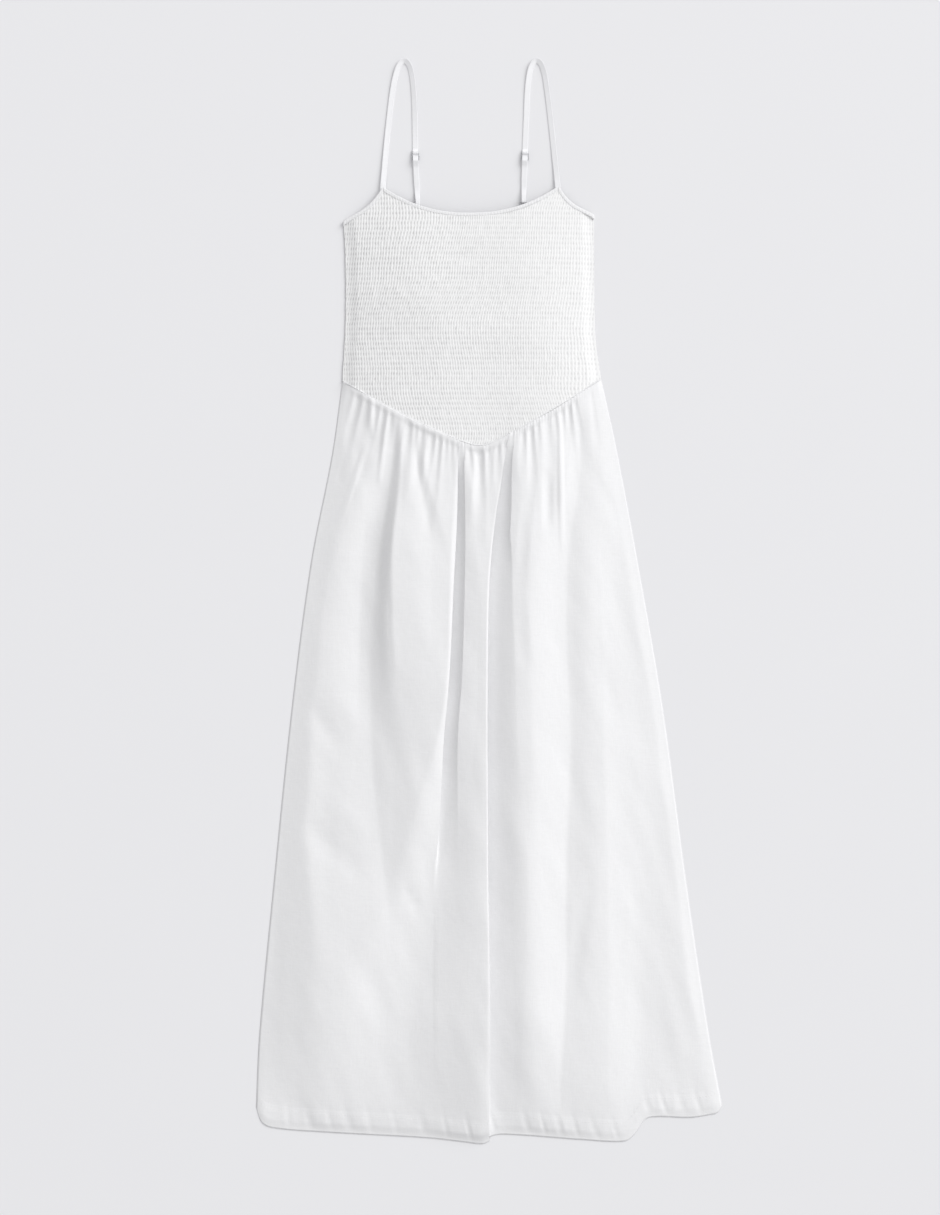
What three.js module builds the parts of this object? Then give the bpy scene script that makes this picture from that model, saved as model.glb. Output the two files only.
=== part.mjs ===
// A white sleeveless maxi dress, laid flat and face up: a smocked bodice that ends in a V at the waist,
// a long gathered skirt with a turned-up hem, bound edges and narrow adjustable straps.
// Millimetres. X runs across the dress, +Y towards the neck, +Z up from the surface that it lies on.
// The origin is on that surface, under the middle of the dress's outline.
import * as THREE from "three";
import { mergeVertices } from "three/addons/utils/BufferGeometryUtils.js";

const { lerp: mix, clamp } = THREE.MathUtils;

// Driving sizes
const CLOTH = 1.5; // a panel's wall, seam allowances and all
const SEAM_GAP = 0.3; // left between pieces that touch
const FRONT_FLOOR = CLOTH + SEAM_GAP; // the front lies on the back
const SEAM_LEVEL = 0.45; // along Y, which leaves the seam gap across a slanting seam
const BINDING_WIDE = 4.4;
const BINDING_THICK = 2.6;
const HEM_DEEP = 25;
const HEM_PROUD = 0.9; // the turned-up layer shows as this much more thickness
const HEM_STEP = 2; // along the skirt, from one thickness to the other
const BACK_HEM_UP = 7; // the back's hem stays out of sight behind the front's

const SMOCK_ROW = 6; // from one row of elastic thread to the next
const SMOCK_PROUD = 1.4; // how far a puff stands between two rows
const SMOCK_COLUMNS = { armhole: 6, neckL: 14, neckR: 12 }; // puffs across, each two or three real gathers
const SKIRT_COLUMNS = [16, 12, 10, 14, 8]; // between the skirt's long folds, two columns to a gather
const BACK_COLUMNS = [13, 11]; // on either side of the waist seam's tip

// Points on the outline: the corners where the straps start, the underarms, the waist seam's ends and tip
const STRAP_CORNER = { left: { x: -127, y: 497 }, right: { x: 83, y: 498 } };
const UNDERARM = { left: { x: -175, y: 456 }, right: { x: 126, y: 464 } };
const WAIST_SIDE = { left: { x: -176, y: 265 }, right: { x: 134.5, y: 267 } };
const WAIST_TIP = { x: -10, y: 187 };
const WAIST_BOW = { left: 4.5, right: 2.5 }; // how far each half of the V bows down
const TIP_ROUND = 0.07; // of a half's length
const TIP_ACROSS = (WAIST_TIP.x - WAIST_SIDE.left.x) / (WAIST_SIDE.right.x - WAIST_SIDE.left.x);
const NECK_DROP = 32; // below the line between the strap corners
const NECK_SQUARE = 2.25; // 2 is a parabola, and more is squarer
const ARMHOLE_SCOOP = 6.5;

// The back's upper edge
const BACK_TOP = [
  { x: -175, y: 456 },
  { x: -85.4, y: 461.5 },
  { x: -22, y: 460 },
  { x: 41.4, y: 465.5 },
  { x: 126, y: 464 },
];

// The bodice's side edges, and how far the front stands off the back at each height
const BODICE = [
  { y: 186, left: -176, right: 134.5, stand: 12 },
  { y: 265, left: -176, right: 134.5, stand: 12 },
  { y: 308, left: -173.4, right: 128.5, stand: 12.5 },
  { y: 360, left: -171.8, right: 126.5, stand: 13 },
  { y: 420, left: -172.6, right: 126, stand: 11 },
  { y: 466, left: -175, right: 126, stand: 8.5 },
  { y: 500, left: -175, right: 126, stand: 5 },
];
const BODICE_SLOPE = { left: 82, right: 46 }; // how far in from each side the front reaches its full stand

// The skirt's sections, from the waist seam (0) to the hem (1): its side edges, how far the front stands
// off the back, and how far in from each side it reaches that
const SKIRT = [
  { v: 0, left: -176, right: 134.5, stand: 12, slopeL: 82, slopeR: 46 },
  { v: 0.1, left: -188, right: 153.5, stand: 17, slopeL: 56, slopeR: 50 },
  { v: 0.25, left: -213.5, right: 178, stand: 22, slopeL: 46, slopeR: 64 },
  { v: 0.45, left: -236.5, right: 208, stand: 24, slopeL: 48, slopeR: 74 },
  { v: 0.7, left: -259, right: 237.5, stand: 24, slopeL: 56, slopeR: 70 },
  { v: 0.9, left: -275.5, right: 263.5, stand: 21, slopeL: 64, slopeR: 52 },
  { v: 1, left: -279.5, right: 279.5, stand: 18, slopeL: 68, slopeR: 44 },
];

// The skirt's rows, as parts of the way from the waist seam to the hem's stitching
const SKIRT_ROWS = [
  0, 0.012, 0.03, 0.055, 0.085, 0.12, 0.165, 0.22, 0.29, 0.37, 0.46, 0.56, 0.66, 0.76, 0.86, 0.94, 1,
];

// The hem's lower edge, from side seam (0) to side seam (1)
const HEM = [
  { u: 0, y: -606 },
  { u: 0.012, y: -624 },
  { u: 0.04, y: -631 },
  { u: 0.15, y: -636 },
  { u: 0.37, y: -643 },
  { u: 0.45, y: -648 },
  { u: 0.485, y: -650 },
  { u: 0.5, y: -647 },
  { u: 0.516, y: -640.5 },
  { u: 0.54, y: -638.5 },
  { u: 0.7, y: -645 },
  { u: 0.79, y: -647 },
  { u: 0.81, y: -640 },
  { u: 0.835, y: -621 },
  { u: 0.86, y: -617.5 },
  { u: 0.93, y: -618.5 },
  { u: 0.975, y: -615 },
  { u: 0.992, y: -612 },
  { u: 1, y: -604 },
];

// The four long folds that run down from the waist: the valley's path, its depth and its flanks
const VALLEYS = {
  hip: [
    { v: 0, u: 0.22, deep: 5, left: 7, right: 7 },
    { v: 0.1, u: 0.21, deep: 10, left: 10, right: 10 },
    { v: 0.25, u: 0.213, deep: 12, left: 14, right: 14 },
    { v: 0.45, u: 0.255, deep: 7, left: 28, right: 30 },
    { v: 0.7, u: 0.3, deep: 2, left: 40, right: 34 },
    { v: 1, u: 0.3, deep: 0, left: 40, right: 30 },
  ],
  middle: [
    { v: 0, u: 0.463, deep: 6, left: 8, right: 8 },
    { v: 0.1, u: 0.45, deep: 12, left: 10, right: 10 },
    { v: 0.25, u: 0.451, deep: 16, left: 12, right: 12 },
    { v: 0.45, u: 0.43, deep: 17, left: 13, right: 17 },
    { v: 0.7, u: 0.402, deep: 12, left: 26, right: 24 },
    { v: 1, u: 0.375, deep: 6, left: 44, right: 30 },
  ],
  centre: [
    { v: 0, u: 0.665, deep: 6, left: 8, right: 9 },
    { v: 0.1, u: 0.622, deep: 13, left: 10, right: 14 },
    { v: 0.25, u: 0.581, deep: 18, left: 12, right: 24 },
    { v: 0.45, u: 0.564, deep: 20, left: 13, right: 32 },
    { v: 0.7, u: 0.555, deep: 19, left: 14, right: 38 },
    { v: 1, u: 0.55, deep: 13, left: 15, right: 40 },
  ],
  side: [
    { v: 0, u: 0.921, deep: 5, left: 7, right: 6 },
    { v: 0.1, u: 0.886, deep: 10, left: 11, right: 9 },
    { v: 0.25, u: 0.822, deep: 9, left: 18, right: 16 },
    { v: 0.45, u: 0.776, deep: 9, left: 24, right: 30 },
    { v: 0.7, u: 0.753, deep: 8, left: 26, right: 34 },
    { v: 1, u: 0.75, deep: 6, left: 28, right: 30 },
  ],
};

// The small gathers between them fade out below the waist, each at its own depth and length
const GATHER_DEEP = { least: 1.8, more: 2.6 };
const GATHER_RUN = { least: 0.07, more: 0.15 };

// A strap, its ring and its slider
const STRAP_WIDE = 6.6;
const STRAP_THICK = 1.3;
const RING_HOLE = 8;
const RING_WIRE = 1.4;
const SLIDER_WIDE = 10.6;
const SLIDER_LONG = 11.4;
const SLIDER_THICK = 1;
const SLIDER_BAR = 1.2;
const TAIL = 7; // the strap's end, folded under past the slider's bar
const TAB_TAIL = 9; // the ring tab's end, laid over the back's edge
const BUNCHED = 4.8; // the strap's width where it is bunched through the ring
const BUNCH_RUN = 22; // over which it comes back to its full width
const RING_WRAP = RING_WIRE / 2 + SEAM_GAP + STRAP_THICK / 2 + 0.4; // looser, because the ring is round
const RING_REACH = (RING_HOLE + RING_WIRE) / 2 - 0.3; // from the ring's middle to that turn's
const BAR_WRAP = Math.hypot(SLIDER_BAR, SLIDER_THICK) / 2 + SEAM_GAP + STRAP_THICK / 2;
const RING_UP = STRAP_THICK / 2 + RING_WRAP; // the wire's middle, above the surface
const SLIDER_UP = STRAP_THICK * 1.5 + SEAM_GAP + BAR_WRAP; // the bar's middle
const OVER_STRAP = STRAP_THICK * 1.5 + SEAM_GAP; // the middle of a strap that lies on another

const STRAP = {
  left: {
    ring: { x: -85.4, y: 471.5 },
    slider: { x: -88.2, y: 534 },
    // From the bodice's corner over the loop and down to the ring. Rest is the height of what the strap
    // lies on, and lean how far it stands up on its edge, in degrees.
    route: [
      { x: -127.2, y: 489, rest: 3.6, lean: 0 },
      { x: -127, y: 499, rest: 2.6, lean: 10 },
      { x: -126, y: 514, rest: 0.8, lean: 38 },
      { x: -123.6, y: 542, rest: 0, lean: 44 },
      { x: -120, y: 578, rest: 0, lean: 20 },
      { x: -115.8, y: 612, rest: 0, lean: 28 },
      { x: -111.6, y: 633, rest: 0, lean: 55 },
      { x: -107, y: 644.6, rest: 0, lean: 80 },
      { x: -101.6, y: 649.35, rest: 0, lean: 90 },
      { x: -96.2, y: 644.6, rest: 0, lean: 84 },
      { x: -92.6, y: 633, rest: 0, lean: 66 },
      { x: -90, y: 608, rest: 0, lean: 55 },
      { x: -89, y: 578, rest: 0, lean: 30 },
      { x: -88.6, y: 552, rest: 0, lean: 0 },
      { x: -88.2, y: 534, rest: 0, lean: 0 },
      { x: -87.2, y: 505, rest: 0, lean: 0 },
      { x: -85.6, y: 484, rest: 0, lean: 0 },
    ],
  },
  right: {
    ring: { x: 41.4, y: 475.6 },
    slider: { x: 43, y: 534 },
    route: [
      { x: 82.8, y: 490, rest: 3.6, lean: 0 },
      { x: 82.4, y: 500, rest: 2.6, lean: -10 },
      { x: 80.6, y: 516, rest: 0.8, lean: -34 },
      { x: 76.8, y: 552, rest: 0, lean: -40 },
      { x: 72.4, y: 592, rest: 0, lean: -45 },
      { x: 68.8, y: 620, rest: 0, lean: -58 },
      { x: 66.4, y: 634, rest: 0, lean: -70 },
      { x: 62.8, y: 644.6, rest: 0, lean: -84 },
      { x: 57.4, y: 649.35, rest: 0, lean: -90 },
      { x: 52, y: 644.6, rest: 0, lean: -82 },
      { x: 48.6, y: 634, rest: 0, lean: -52 },
      { x: 46, y: 612, rest: 0, lean: -20 },
      { x: 44.6, y: 578, rest: 0, lean: -6 },
      { x: 43.4, y: 552, rest: 0, lean: 0 },
      { x: 43, y: 534, rest: 0, lean: 0 },
      { x: 42, y: 508, rest: 0, lean: 0 },
      { x: 41.4, y: 488, rest: 0, lean: 0 },
    ],
  },
};
const ROUTE_STEPS = 2; // between two rows of a route

const white = new THREE.MeshStandardMaterial({ color: "#f2f2f1", roughness: 0.88, metalness: 0 });
const metal = new THREE.MeshStandardMaterial({ color: "#a6a8ab", roughness: 0.3, metalness: 1 });

// One column of a table at a place along it, on a smooth curve through the rows.
function read(table, key, column, at) {
  const last = table.length - 1;
  if (at <= table[0][key]) return table[0][column];
  if (at >= table[last][key]) return table[last][column];
  const i = table.findIndex((row) => row[key] > at) - 1;
  const slope = (j) => {
    const a = table[Math.max(j - 1, 0)];
    const b = table[Math.min(j + 1, last)];
    return (b[column] - a[column]) / (b[key] - a[key]);
  };
  const step = table[i + 1][key] - table[i][key];
  const t = (at - table[i][key]) / step;
  const rise = table[i + 1][column] - table[i][column];
  const bend = (1 - t) * (slope(i) * step - rise) - t * (slope(i + 1) * step - rise);
  return table[i][column] + t * rise + t * (1 - t) * bend;
}

function sequence(count, make) {
  return Array.from({ length: count + 1 }, (_, i) => make(i / count, i));
}

// Even steps within each span between two stops.
function steps(stops, counts) {
  const within = (count, i) => sequence(count, (t) => mix(stops[i], stops[i + 1], t)).slice(0, -1);
  return [...counts.flatMap(within), stops[stops.length - 1]];
}

// 1 in the middle of a fold, 0 from its half-width out.
function hump(distance, halfWidth) {
  const t = Math.min(1, Math.abs(distance) / halfWidth);
  return (1 - t * t) ** 2;
}

// How much of its full stand a panel has at a distance in from its edge.
function slopeUp(distance, reach) {
  const t = clamp(distance / reach, 0, 1);
  return 1 - (1 - t) ** 2;
}

// A height that would come out below the layer underneath settles on it.
function settle(height) {
  const round = 1.2;
  return height > 0 ? (height * height) / (height + round) : 0;
}

// The waist seam: two runs that meet in a V.
function waistY(x) {
  const side = x < WAIST_TIP.x ? "left" : "right";
  const t = clamp((x - WAIST_TIP.x) / (WAIST_SIDE[side].x - WAIST_TIP.x), 0, 1);
  const eased = Math.hypot(t, TIP_ROUND) - TIP_ROUND * (1 - t);
  return mix(WAIST_TIP.y, WAIST_SIDE[side].y, eased) - WAIST_BOW[side] * 4 * t * (1 - t);
}

// The front's upper outline: armhole, neckline, armhole.
function frontTopY(x) {
  const { left, right } = STRAP_CORNER;
  if (x >= left.x && x <= right.x) {
    const across = (x - left.x) / (right.x - left.x);
    return mix(left.y, right.y, across) - NECK_DROP * (1 - Math.abs(2 * across - 1) ** NECK_SQUARE);
  }
  const side = x < left.x ? "left" : "right";
  const t = clamp((x - UNDERARM[side].x) / (STRAP_CORNER[side].x - UNDERARM[side].x), 0, 1);
  return mix(UNDERARM[side].y, STRAP_CORNER[side].y, t) - ARMHOLE_SCOOP * Math.sin(Math.PI * t ** 1.4);
}

function backTopY(x) {
  return read(BACK_TOP, "x", "y", x);
}

// How long a width across an edge comes out along Y.
function acrossEdge(edge, x) {
  const before = Math.abs(edge(x) - edge(x - 0.5)) * 2;
  const after = Math.abs(edge(x + 0.5) - edge(x)) * 2;
  return Math.hypot(1, Math.min(1.3, Math.max(before, after)));
}

// A bound panel stops where its binding begins.
function belowBinding(edge, x) {
  return edge(x) - (BINDING_WIDE + SEAM_GAP) * acrossEdge(edge, x);
}

// A place on a bodice panel, u across at the height y.
function bodiceX(u, y) {
  return mix(read(BODICE, "y", "left", y), read(BODICE, "y", "right", y), u);
}

// The height of the bodice front's inner side.
function bodiceFloor(x, y) {
  const left = slopeUp(x - read(BODICE, "y", "left", y), BODICE_SLOPE.left);
  const right = slopeUp(read(BODICE, "y", "right", y) - x, BODICE_SLOPE.right);
  return FRONT_FLOOR + read(BODICE, "y", "stand", y) * left * right;
}

// Where a column of a bodice panel meets its upper edge.
function bodiceTop(edge, u) {
  let y = UNDERARM.left.y;
  for (let i = 0; i < 5; i++) y = belowBinding(edge, bodiceX(u, y));
  return y;
}

function bodiceFoot(u) {
  let y = WAIST_SIDE.left.y;
  for (let i = 0; i < 5; i++) y = waistY(bodiceX(u, y));
  return y;
}

// The skirt's length at a place across it, from the seam to the hem's edge.
function skirtEnds(u, hemUp) {
  const seam = waistY(mix(SKIRT[0].left, SKIRT[0].right, u)) - SEAM_LEVEL;
  return { seam, hem: read(HEM, "u", "y", u) + hemUp };
}

// The part of the length at which the turned-up hem is stitched, less a step up the skirt.
function hemLine(u, step) {
  const { seam, hem } = skirtEnds(u, 0);
  return 1 - (HEM_DEEP + step) / (seam - hem);
}

function skirtPoint(u, v, z, hemUp = 0) {
  const { seam, hem } = skirtEnds(u, hemUp);
  const x = mix(read(SKIRT, "v", "left", v), read(SKIRT, "v", "right", v), u);
  return new THREE.Vector3(x, mix(seam, hem, v), z);
}

// The skirt's columns follow its long folds, so that each valley keeps one column all the way down.
function skirtColumns(v) {
  const folds = Object.values(VALLEYS).map((rows) => read(rows, "v", "u", v));
  return steps([0, ...folds, 1], SKIRT_COLUMNS);
}

// The height of the skirt front's inner side: its stand, less the valleys and gathers.
function skirtFloor(u, v, column) {
  const left = read(SKIRT, "v", "left", v);
  const right = read(SKIRT, "v", "right", v);
  const wide = right - left;
  const fromLeft = slopeUp(u * wide, read(SKIRT, "v", "slopeL", v));
  const fromRight = slopeUp((1 - u) * wide, read(SKIRT, "v", "slopeR", v));
  let height = read(SKIRT, "v", "stand", v);
  for (const rows of Object.values(VALLEYS)) {
    const off = (u - read(rows, "v", "u", v)) * wide;
    height -= read(rows, "v", "deep", v) * hump(off, read(rows, "v", off < 0 ? "left" : "right", v));
  }
  if (column % 2 === 0) {
    const run = GATHER_RUN.least + GATHER_RUN.more * ((column * 0.377) % 1);
    const deep = GATHER_DEEP.least + GATHER_DEEP.more * ((column * 0.309) % 1);
    height -= deep * Math.max(0, 1 - v / run);
  }
  return FRONT_FLOOR + settle(height) * fromLeft * fromRight;
}

// The outer side of a wall whose inner side is a grid of points: as thick across a slope as on the flat.
function thickened(grid, extra) {
  const steep = (p, q) => Math.abs(q.z - p.z) / Math.max(1, Math.hypot(q.x - p.x, q.y - p.y));
  return grid.map((row, i) =>
    row.map((p, j) => {
      const before = row[Math.max(j - 1, 0)];
      const after = row[Math.min(j + 1, row.length - 1)];
      const slope = (steep(p, before) + steep(p, after)) / 2;
      return new THREE.Vector3(p.x, p.y, p.z + CLOTH * Math.hypot(1, Math.min(slope, 1.2)) + extra(i));
    }),
  );
}

// A closed wall between two grids of points, rows of columns from the neck down, the first grid over the
// second. They may have different numbers of rows and columns as long as their rims run side by side.
// Raise gives the upper side's cells a point of their own in the middle.
function wall(over, under, raise = null) {
  const points = [];
  const faces = [];
  const index = (grid) => grid.map((row) => row.map((p) => points.push(p) - 1));
  const cells = (grid, each) => {
    for (let i = 0; i + 1 < grid.length; i++)
      for (let j = 0; j + 1 < grid[i].length; j++)
        each(grid[i][j], grid[i][j + 1], grid[i + 1][j + 1], grid[i + 1][j]);
  };
  const gap = (a, b) => points[a].distanceTo(points[b]);
  const top = index(over);
  const base = index(under);
  cells(top, (a, b, c, d) => {
    if (!raise) {
      faces.push([a, c, b], [a, d, c]);
    } else if (gap(a, d) + gap(b, c) > 0.01) {
      const m = points.push(raise(points[a], points[b], points[c], points[d])) - 1;
      faces.push([a, d, m], [d, c, m], [c, b, m], [b, a, m]);
    }
  });
  cells(base, (a, b, c, d) => faces.push([a, b, c], [a, c, d]));
  // Joins two rims, always advancing the one that has come less far along.
  const zip = (a, b) => {
    const along = (rim) => {
      const run = [0];
      for (let i = 1; i < rim.length; i++) run.push(run[i - 1] + gap(rim[i - 1], rim[i]));
      return run.map((length) => length / run[run.length - 1]);
    };
    const [runA, runB] = [along(a), along(b)];
    let i = 0;
    let j = 0;
    while (i + 1 < a.length || j + 1 < b.length) {
      if (j + 1 >= b.length || (i + 1 < a.length && runA[i + 1] <= runB[j + 1])) {
        faces.push([a[i], a[i + 1], b[j]]);
        i++;
      } else {
        faces.push([a[i], b[j + 1], b[j]]);
        j++;
      }
    }
  };
  const lastOf = (list) => list[list.length - 1];
  zip(top[0], base[0]);
  zip(top.map(lastOf), base.map(lastOf));
  zip([...lastOf(top)].reverse(), [...lastOf(base)].reverse());
  zip(top.map((row) => row[0]).reverse(), base.map((row) => row[0]).reverse());
  return solid(points, faces);
}

// A closed body through rings of points, each ordered counter-clockwise about the way ahead.
function loft(rings) {
  const points = rings.flat();
  const around = rings[0].length;
  const faces = [];
  for (let i = 0; i + 1 < rings.length; i++)
    for (let j = 0; j < around; j++) {
      const a = i * around + j;
      const b = i * around + ((j + 1) % around);
      faces.push([a, b, b + around], [a, b + around, a + around]);
    }
  const end = (rings.length - 1) * around;
  for (let j = 1; j + 1 < around; j++) faces.push([0, j + 1, j], [end, end + j, end + j + 1]);
  return solid(points, faces);
}

// Points that fall together are merged, and faces that close up are left out.
function solid(points, faces) {
  const loose = new THREE.BufferGeometry();
  const numbers = points.flatMap((p) => [p.x, p.y, p.z]);
  loose.setAttribute("position", new THREE.Float32BufferAttribute(numbers, 3));
  loose.setIndex(faces.flat());
  const merged = mergeVertices(loose, 1e-3);
  const corners = merged.index.array;
  const kept = [];
  for (let i = 0; i < corners.length; i += 3) {
    const [a, b, c] = corners.slice(i, i + 3);
    if (a !== b && b !== c && c !== a) kept.push(a, b, c);
  }
  merged.setIndex(kept);
  merged.computeVertexNormals();
  return merged;
}

// A rectangular section with its corners taken off, counter-clockwise.
function section(wide, thick) {
  const [w, t] = [wide / 2, thick / 2];
  const cut = thick * 0.25;
  return [
    [w, t - cut],
    [w - cut, t],
    [cut - w, t],
    [-w, t - cut],
    [-w, cut - t],
    [cut - w, -t],
    [w - cut, -t],
    [w, cut - t],
  ];
}

// A binding along an edge, from one x to the other, with its underside at a given height.
function binding(edge, fromX, toX, count, thick, underside) {
  const outline = section(BINDING_WIDE, thick);
  return loft(
    sequence(count, (t) => {
      const x = mix(fromX, toX, t);
      const stretch = acrossEdge(edge, clamp(x, fromX + 0.5, toX - 0.5));
      const y = edge(x) - (BINDING_WIDE / 2) * stretch;
      const z = underside(x, y) + thick / 2;
      return outline.map(([a, b]) => new THREE.Vector3(x, y + a * stretch, z + b));
    }),
  );
}

// A strap through stations, each a middle point, a side direction and a lean in degrees. It narrows
// towards the ring.
function ribbon(stations, ring) {
  return loft(
    stations.map(({ at, side, lean }, i) => {
      const away = Math.hypot(at.x - ring.x, at.y - ring.y) - RING_HOLE;
      const outline = section(mix(BUNCHED, STRAP_WIDE, clamp(away / BUNCH_RUN, 0, 1)), STRAP_THICK);
      const before = stations[Math.max(i - 1, 0)].at;
      const after = stations[Math.min(i + 1, stations.length - 1)].at;
      const ahead = after.clone().sub(before).normalize();
      const w = side.clone().addScaledVector(ahead, -side.dot(ahead)).normalize();
      w.applyAxisAngle(ahead, THREE.MathUtils.degToRad(lean));
      const h = ahead.clone().cross(w);
      return outline.map(([a, b]) => at.clone().addScaledVector(w, a).addScaledVector(h, b));
    }),
  );
}

// Stations around a bar that lies along X, from below it (-90) to above it (90) or back.
function around(x, y, z, radius, out, from, to, side) {
  return sequence(6, (t) => {
    const turn = THREE.MathUtils.degToRad(mix(from, to, t));
    const at = new THREE.Vector3(x, y + out * radius * Math.cos(turn), z + radius * Math.sin(turn));
    return { at, side, lean: 0 };
  });
}

function strap({ ring, slider, route }) {
  const rows = route.map((row, i) => ({ ...row, i }));
  const down = sequence((route.length - 1) * ROUTE_STEPS, (t) => {
    const place = (column) => read(rows, "i", column, t * (route.length - 1));
    const lean = place("lean");
    const turn = THREE.MathUtils.degToRad(Math.abs(lean));
    const half = (STRAP_WIDE * Math.sin(turn) + STRAP_THICK * Math.cos(turn)) / 2;
    return { at: new THREE.Vector3(place("x"), place("y"), Math.max(0, place("rest")) + half), lean };
  });
  down.forEach((station, i) => {
    const before = down[Math.max(i - 1, 0)].at;
    const after = down[Math.min(i + 1, down.length - 1)].at;
    station.side = new THREE.Vector3(before.y - after.y, after.x - before.x, 0).normalize();
  });
  const across = new THREE.Vector3(1, 0, 0);
  const wireY = ring.y + RING_REACH;
  const run = slider.y - wireY;
  const backUp = [
    { part: 0.14, z: RING_UP + RING_WRAP - 0.5 },
    { part: 0.35, z: OVER_STRAP + 0.3 },
    { part: 0.6, z: OVER_STRAP + 0.6 },
    { part: 0.76, z: SLIDER_UP + BAR_WRAP - 0.7 },
    { part: 0.88, z: SLIDER_UP + BAR_WRAP },
  ].map(({ part, z }) => ({
    at: new THREE.Vector3(mix(ring.x, slider.x, part), wireY + part * run, z),
    side: across,
    lean: 0,
  }));
  const end = new THREE.Vector3(slider.x, slider.y - TAIL, SLIDER_UP - BAR_WRAP);
  const stations = [
    ...down,
    ...around(ring.x, wireY, RING_UP, RING_WRAP, -1, -90, 90, across),
    ...backUp,
    ...around(slider.x, slider.y, SLIDER_UP, BAR_WRAP, 1, 90, -90, across),
    { at: end, side: across, lean: 0 },
  ];
  return ribbon(stations, ring);
}

// A short tab from the back's edge around the ring's lower wire, its end laid over the back.
function ringTab({ ring }) {
  const across = new THREE.Vector3(-1, 0, 0);
  const wireY = ring.y - RING_REACH;
  const edgeY = backTopY(ring.x) + SEAM_GAP;
  const station = (y, z) => ({ at: new THREE.Vector3(ring.x, y, z), side: across, lean: 0 });
  const over = FRONT_FLOOR + STRAP_THICK / 2;
  const stations = [
    station(edgeY, STRAP_THICK / 2),
    ...around(ring.x, wireY, RING_UP, RING_WRAP, 1, -90, 90, across),
    station(wireY - 3, RING_UP + RING_WRAP - 0.5),
    station(edgeY - 2, over + 0.1),
    station(edgeY - TAB_TAIL, over),
  ];
  return ribbon(stations, ring);
}

function ring({ ring: { x, y } }) {
  const shape = new THREE.TorusGeometry((RING_HOLE + RING_WIRE) / 2, RING_WIRE / 2, 6, 18);
  return bare(shape.translate(x, y, RING_UP));
}

// A rounded frame with a bar across the middle.
function slider({ slider: { x, y } }) {
  const rounded = (path, wide, long, round, midY) => {
    const [w, l] = [wide / 2 - round, long / 2 - round];
    path.absarc(w, midY + l, round, 0, Math.PI / 2);
    path.absarc(-w, midY + l, round, Math.PI / 2, Math.PI);
    path.absarc(-w, midY - l, round, Math.PI, Math.PI * 1.5);
    path.absarc(w, midY - l, round, Math.PI * 1.5, Math.PI * 2);
    return path.closePath();
  };
  const holeLong = (SLIDER_LONG - 3 * SLIDER_BAR) / 2;
  const holeUp = (holeLong + SLIDER_BAR) / 2;
  const frame = rounded(new THREE.Shape(), SLIDER_WIDE, SLIDER_LONG, 2, 0);
  for (const midY of [holeUp, -holeUp])
    frame.holes.push(rounded(new THREE.Path(), SLIDER_WIDE - 2 * SLIDER_BAR, holeLong, 0.8, midY));
  const depth = SLIDER_THICK;
  const shape = new THREE.ExtrudeGeometry(frame, { depth, bevelEnabled: false, curveSegments: 3 });
  return bare(shape.translate(x, y, SLIDER_UP - depth / 2));
}

// A library shape as a plain closed body.
function bare(shape) {
  const position = shape.getAttribute("position");
  const points = sequence(position.count - 1, (_, i) => new THREE.Vector3().fromBufferAttribute(position, i));
  const order = shape.index ? [...shape.index.array] : points.map((_, i) => i);
  const faces = sequence(order.length / 3 - 1, (_, i) => order.slice(3 * i, 3 * i + 3));
  return solid(points, faces);
}

// Rows of thread lie low, and the cloth puffs up between them.
function bodiceFront() {
  const { left, right } = STRAP_CORNER;
  const { armhole, neckL, neckR } = SMOCK_COLUMNS;
  const across = (corner) => (corner.x - UNDERARM.left.x) / (UNDERARM.right.x - UNDERARM.left.x);
  const stops = [0, across(left), TIP_ACROSS, across(right), 1];
  const counts = [armhole, neckL, neckR, armhole];
  const highest = Math.max(left.y, right.y);
  const rows = Math.ceil((highest - WAIST_TIP.y) / SMOCK_ROW);
  const columns = steps(stops, counts).map((u) => ({ u, top: bodiceTop(frontTopY, u), foot: bodiceFoot(u) }));
  const snap = SMOCK_ROW / 4;
  const over = sequence(rows, (_, i) =>
    columns.map(({ u, top, foot }) => {
      const line = highest - i * SMOCK_ROW;
      const y = line > top - snap ? top : line < foot + snap ? foot : line;
      const x = bodiceX(u, y);
      return new THREE.Vector3(x, y, bodiceFloor(x, y) + CLOTH);
    }),
  );
  const under = sequence(5, (t) =>
    columns.map(({ u, top, foot }) => {
      const y = mix(top, foot, t);
      const x = bodiceX(u, y);
      return new THREE.Vector3(x, y, bodiceFloor(x, y));
    }),
  );
  return wall(over, under, (a, b, c, d) => {
    const middle = a.clone().add(b).add(c).add(d).multiplyScalar(0.25);
    const whole = (a.distanceTo(d) + b.distanceTo(c)) / (2 * SMOCK_ROW);
    middle.z += SMOCK_PROUD * Math.min(1, whole);
    return middle;
  });
}

function bodiceBack() {
  const layer = (z) =>
    sequence(5, (t) =>
      steps([0, TIP_ACROSS, 1], BACK_COLUMNS).map((u) => {
        const y = mix(bodiceTop(backTopY, u), bodiceFoot(u), t);
        return new THREE.Vector3(bodiceX(u, y), y, z);
      }),
    );
  return wall(layer(CLOTH), layer(0));
}

// A row is a place down each column rather than one fraction, because the hem's depth is a length.
function skirtFront() {
  const row = (place) =>
    skirtColumns(place(0.5)).map((u, column) => {
      const v = place(u);
      return skirtPoint(u, v, skirtFloor(u, v, column));
    });
  const places = SKIRT_ROWS.map((part) => (u) => part * hemLine(u, HEM_STEP));
  places.push((u) => hemLine(u, 0), () => 1);
  const rows = places.map(row);
  const turned = (i) => (i >= rows.length - 2 ? HEM_PROUD : 0);
  return wall(thickened(rows, turned), rows);
}

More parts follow.
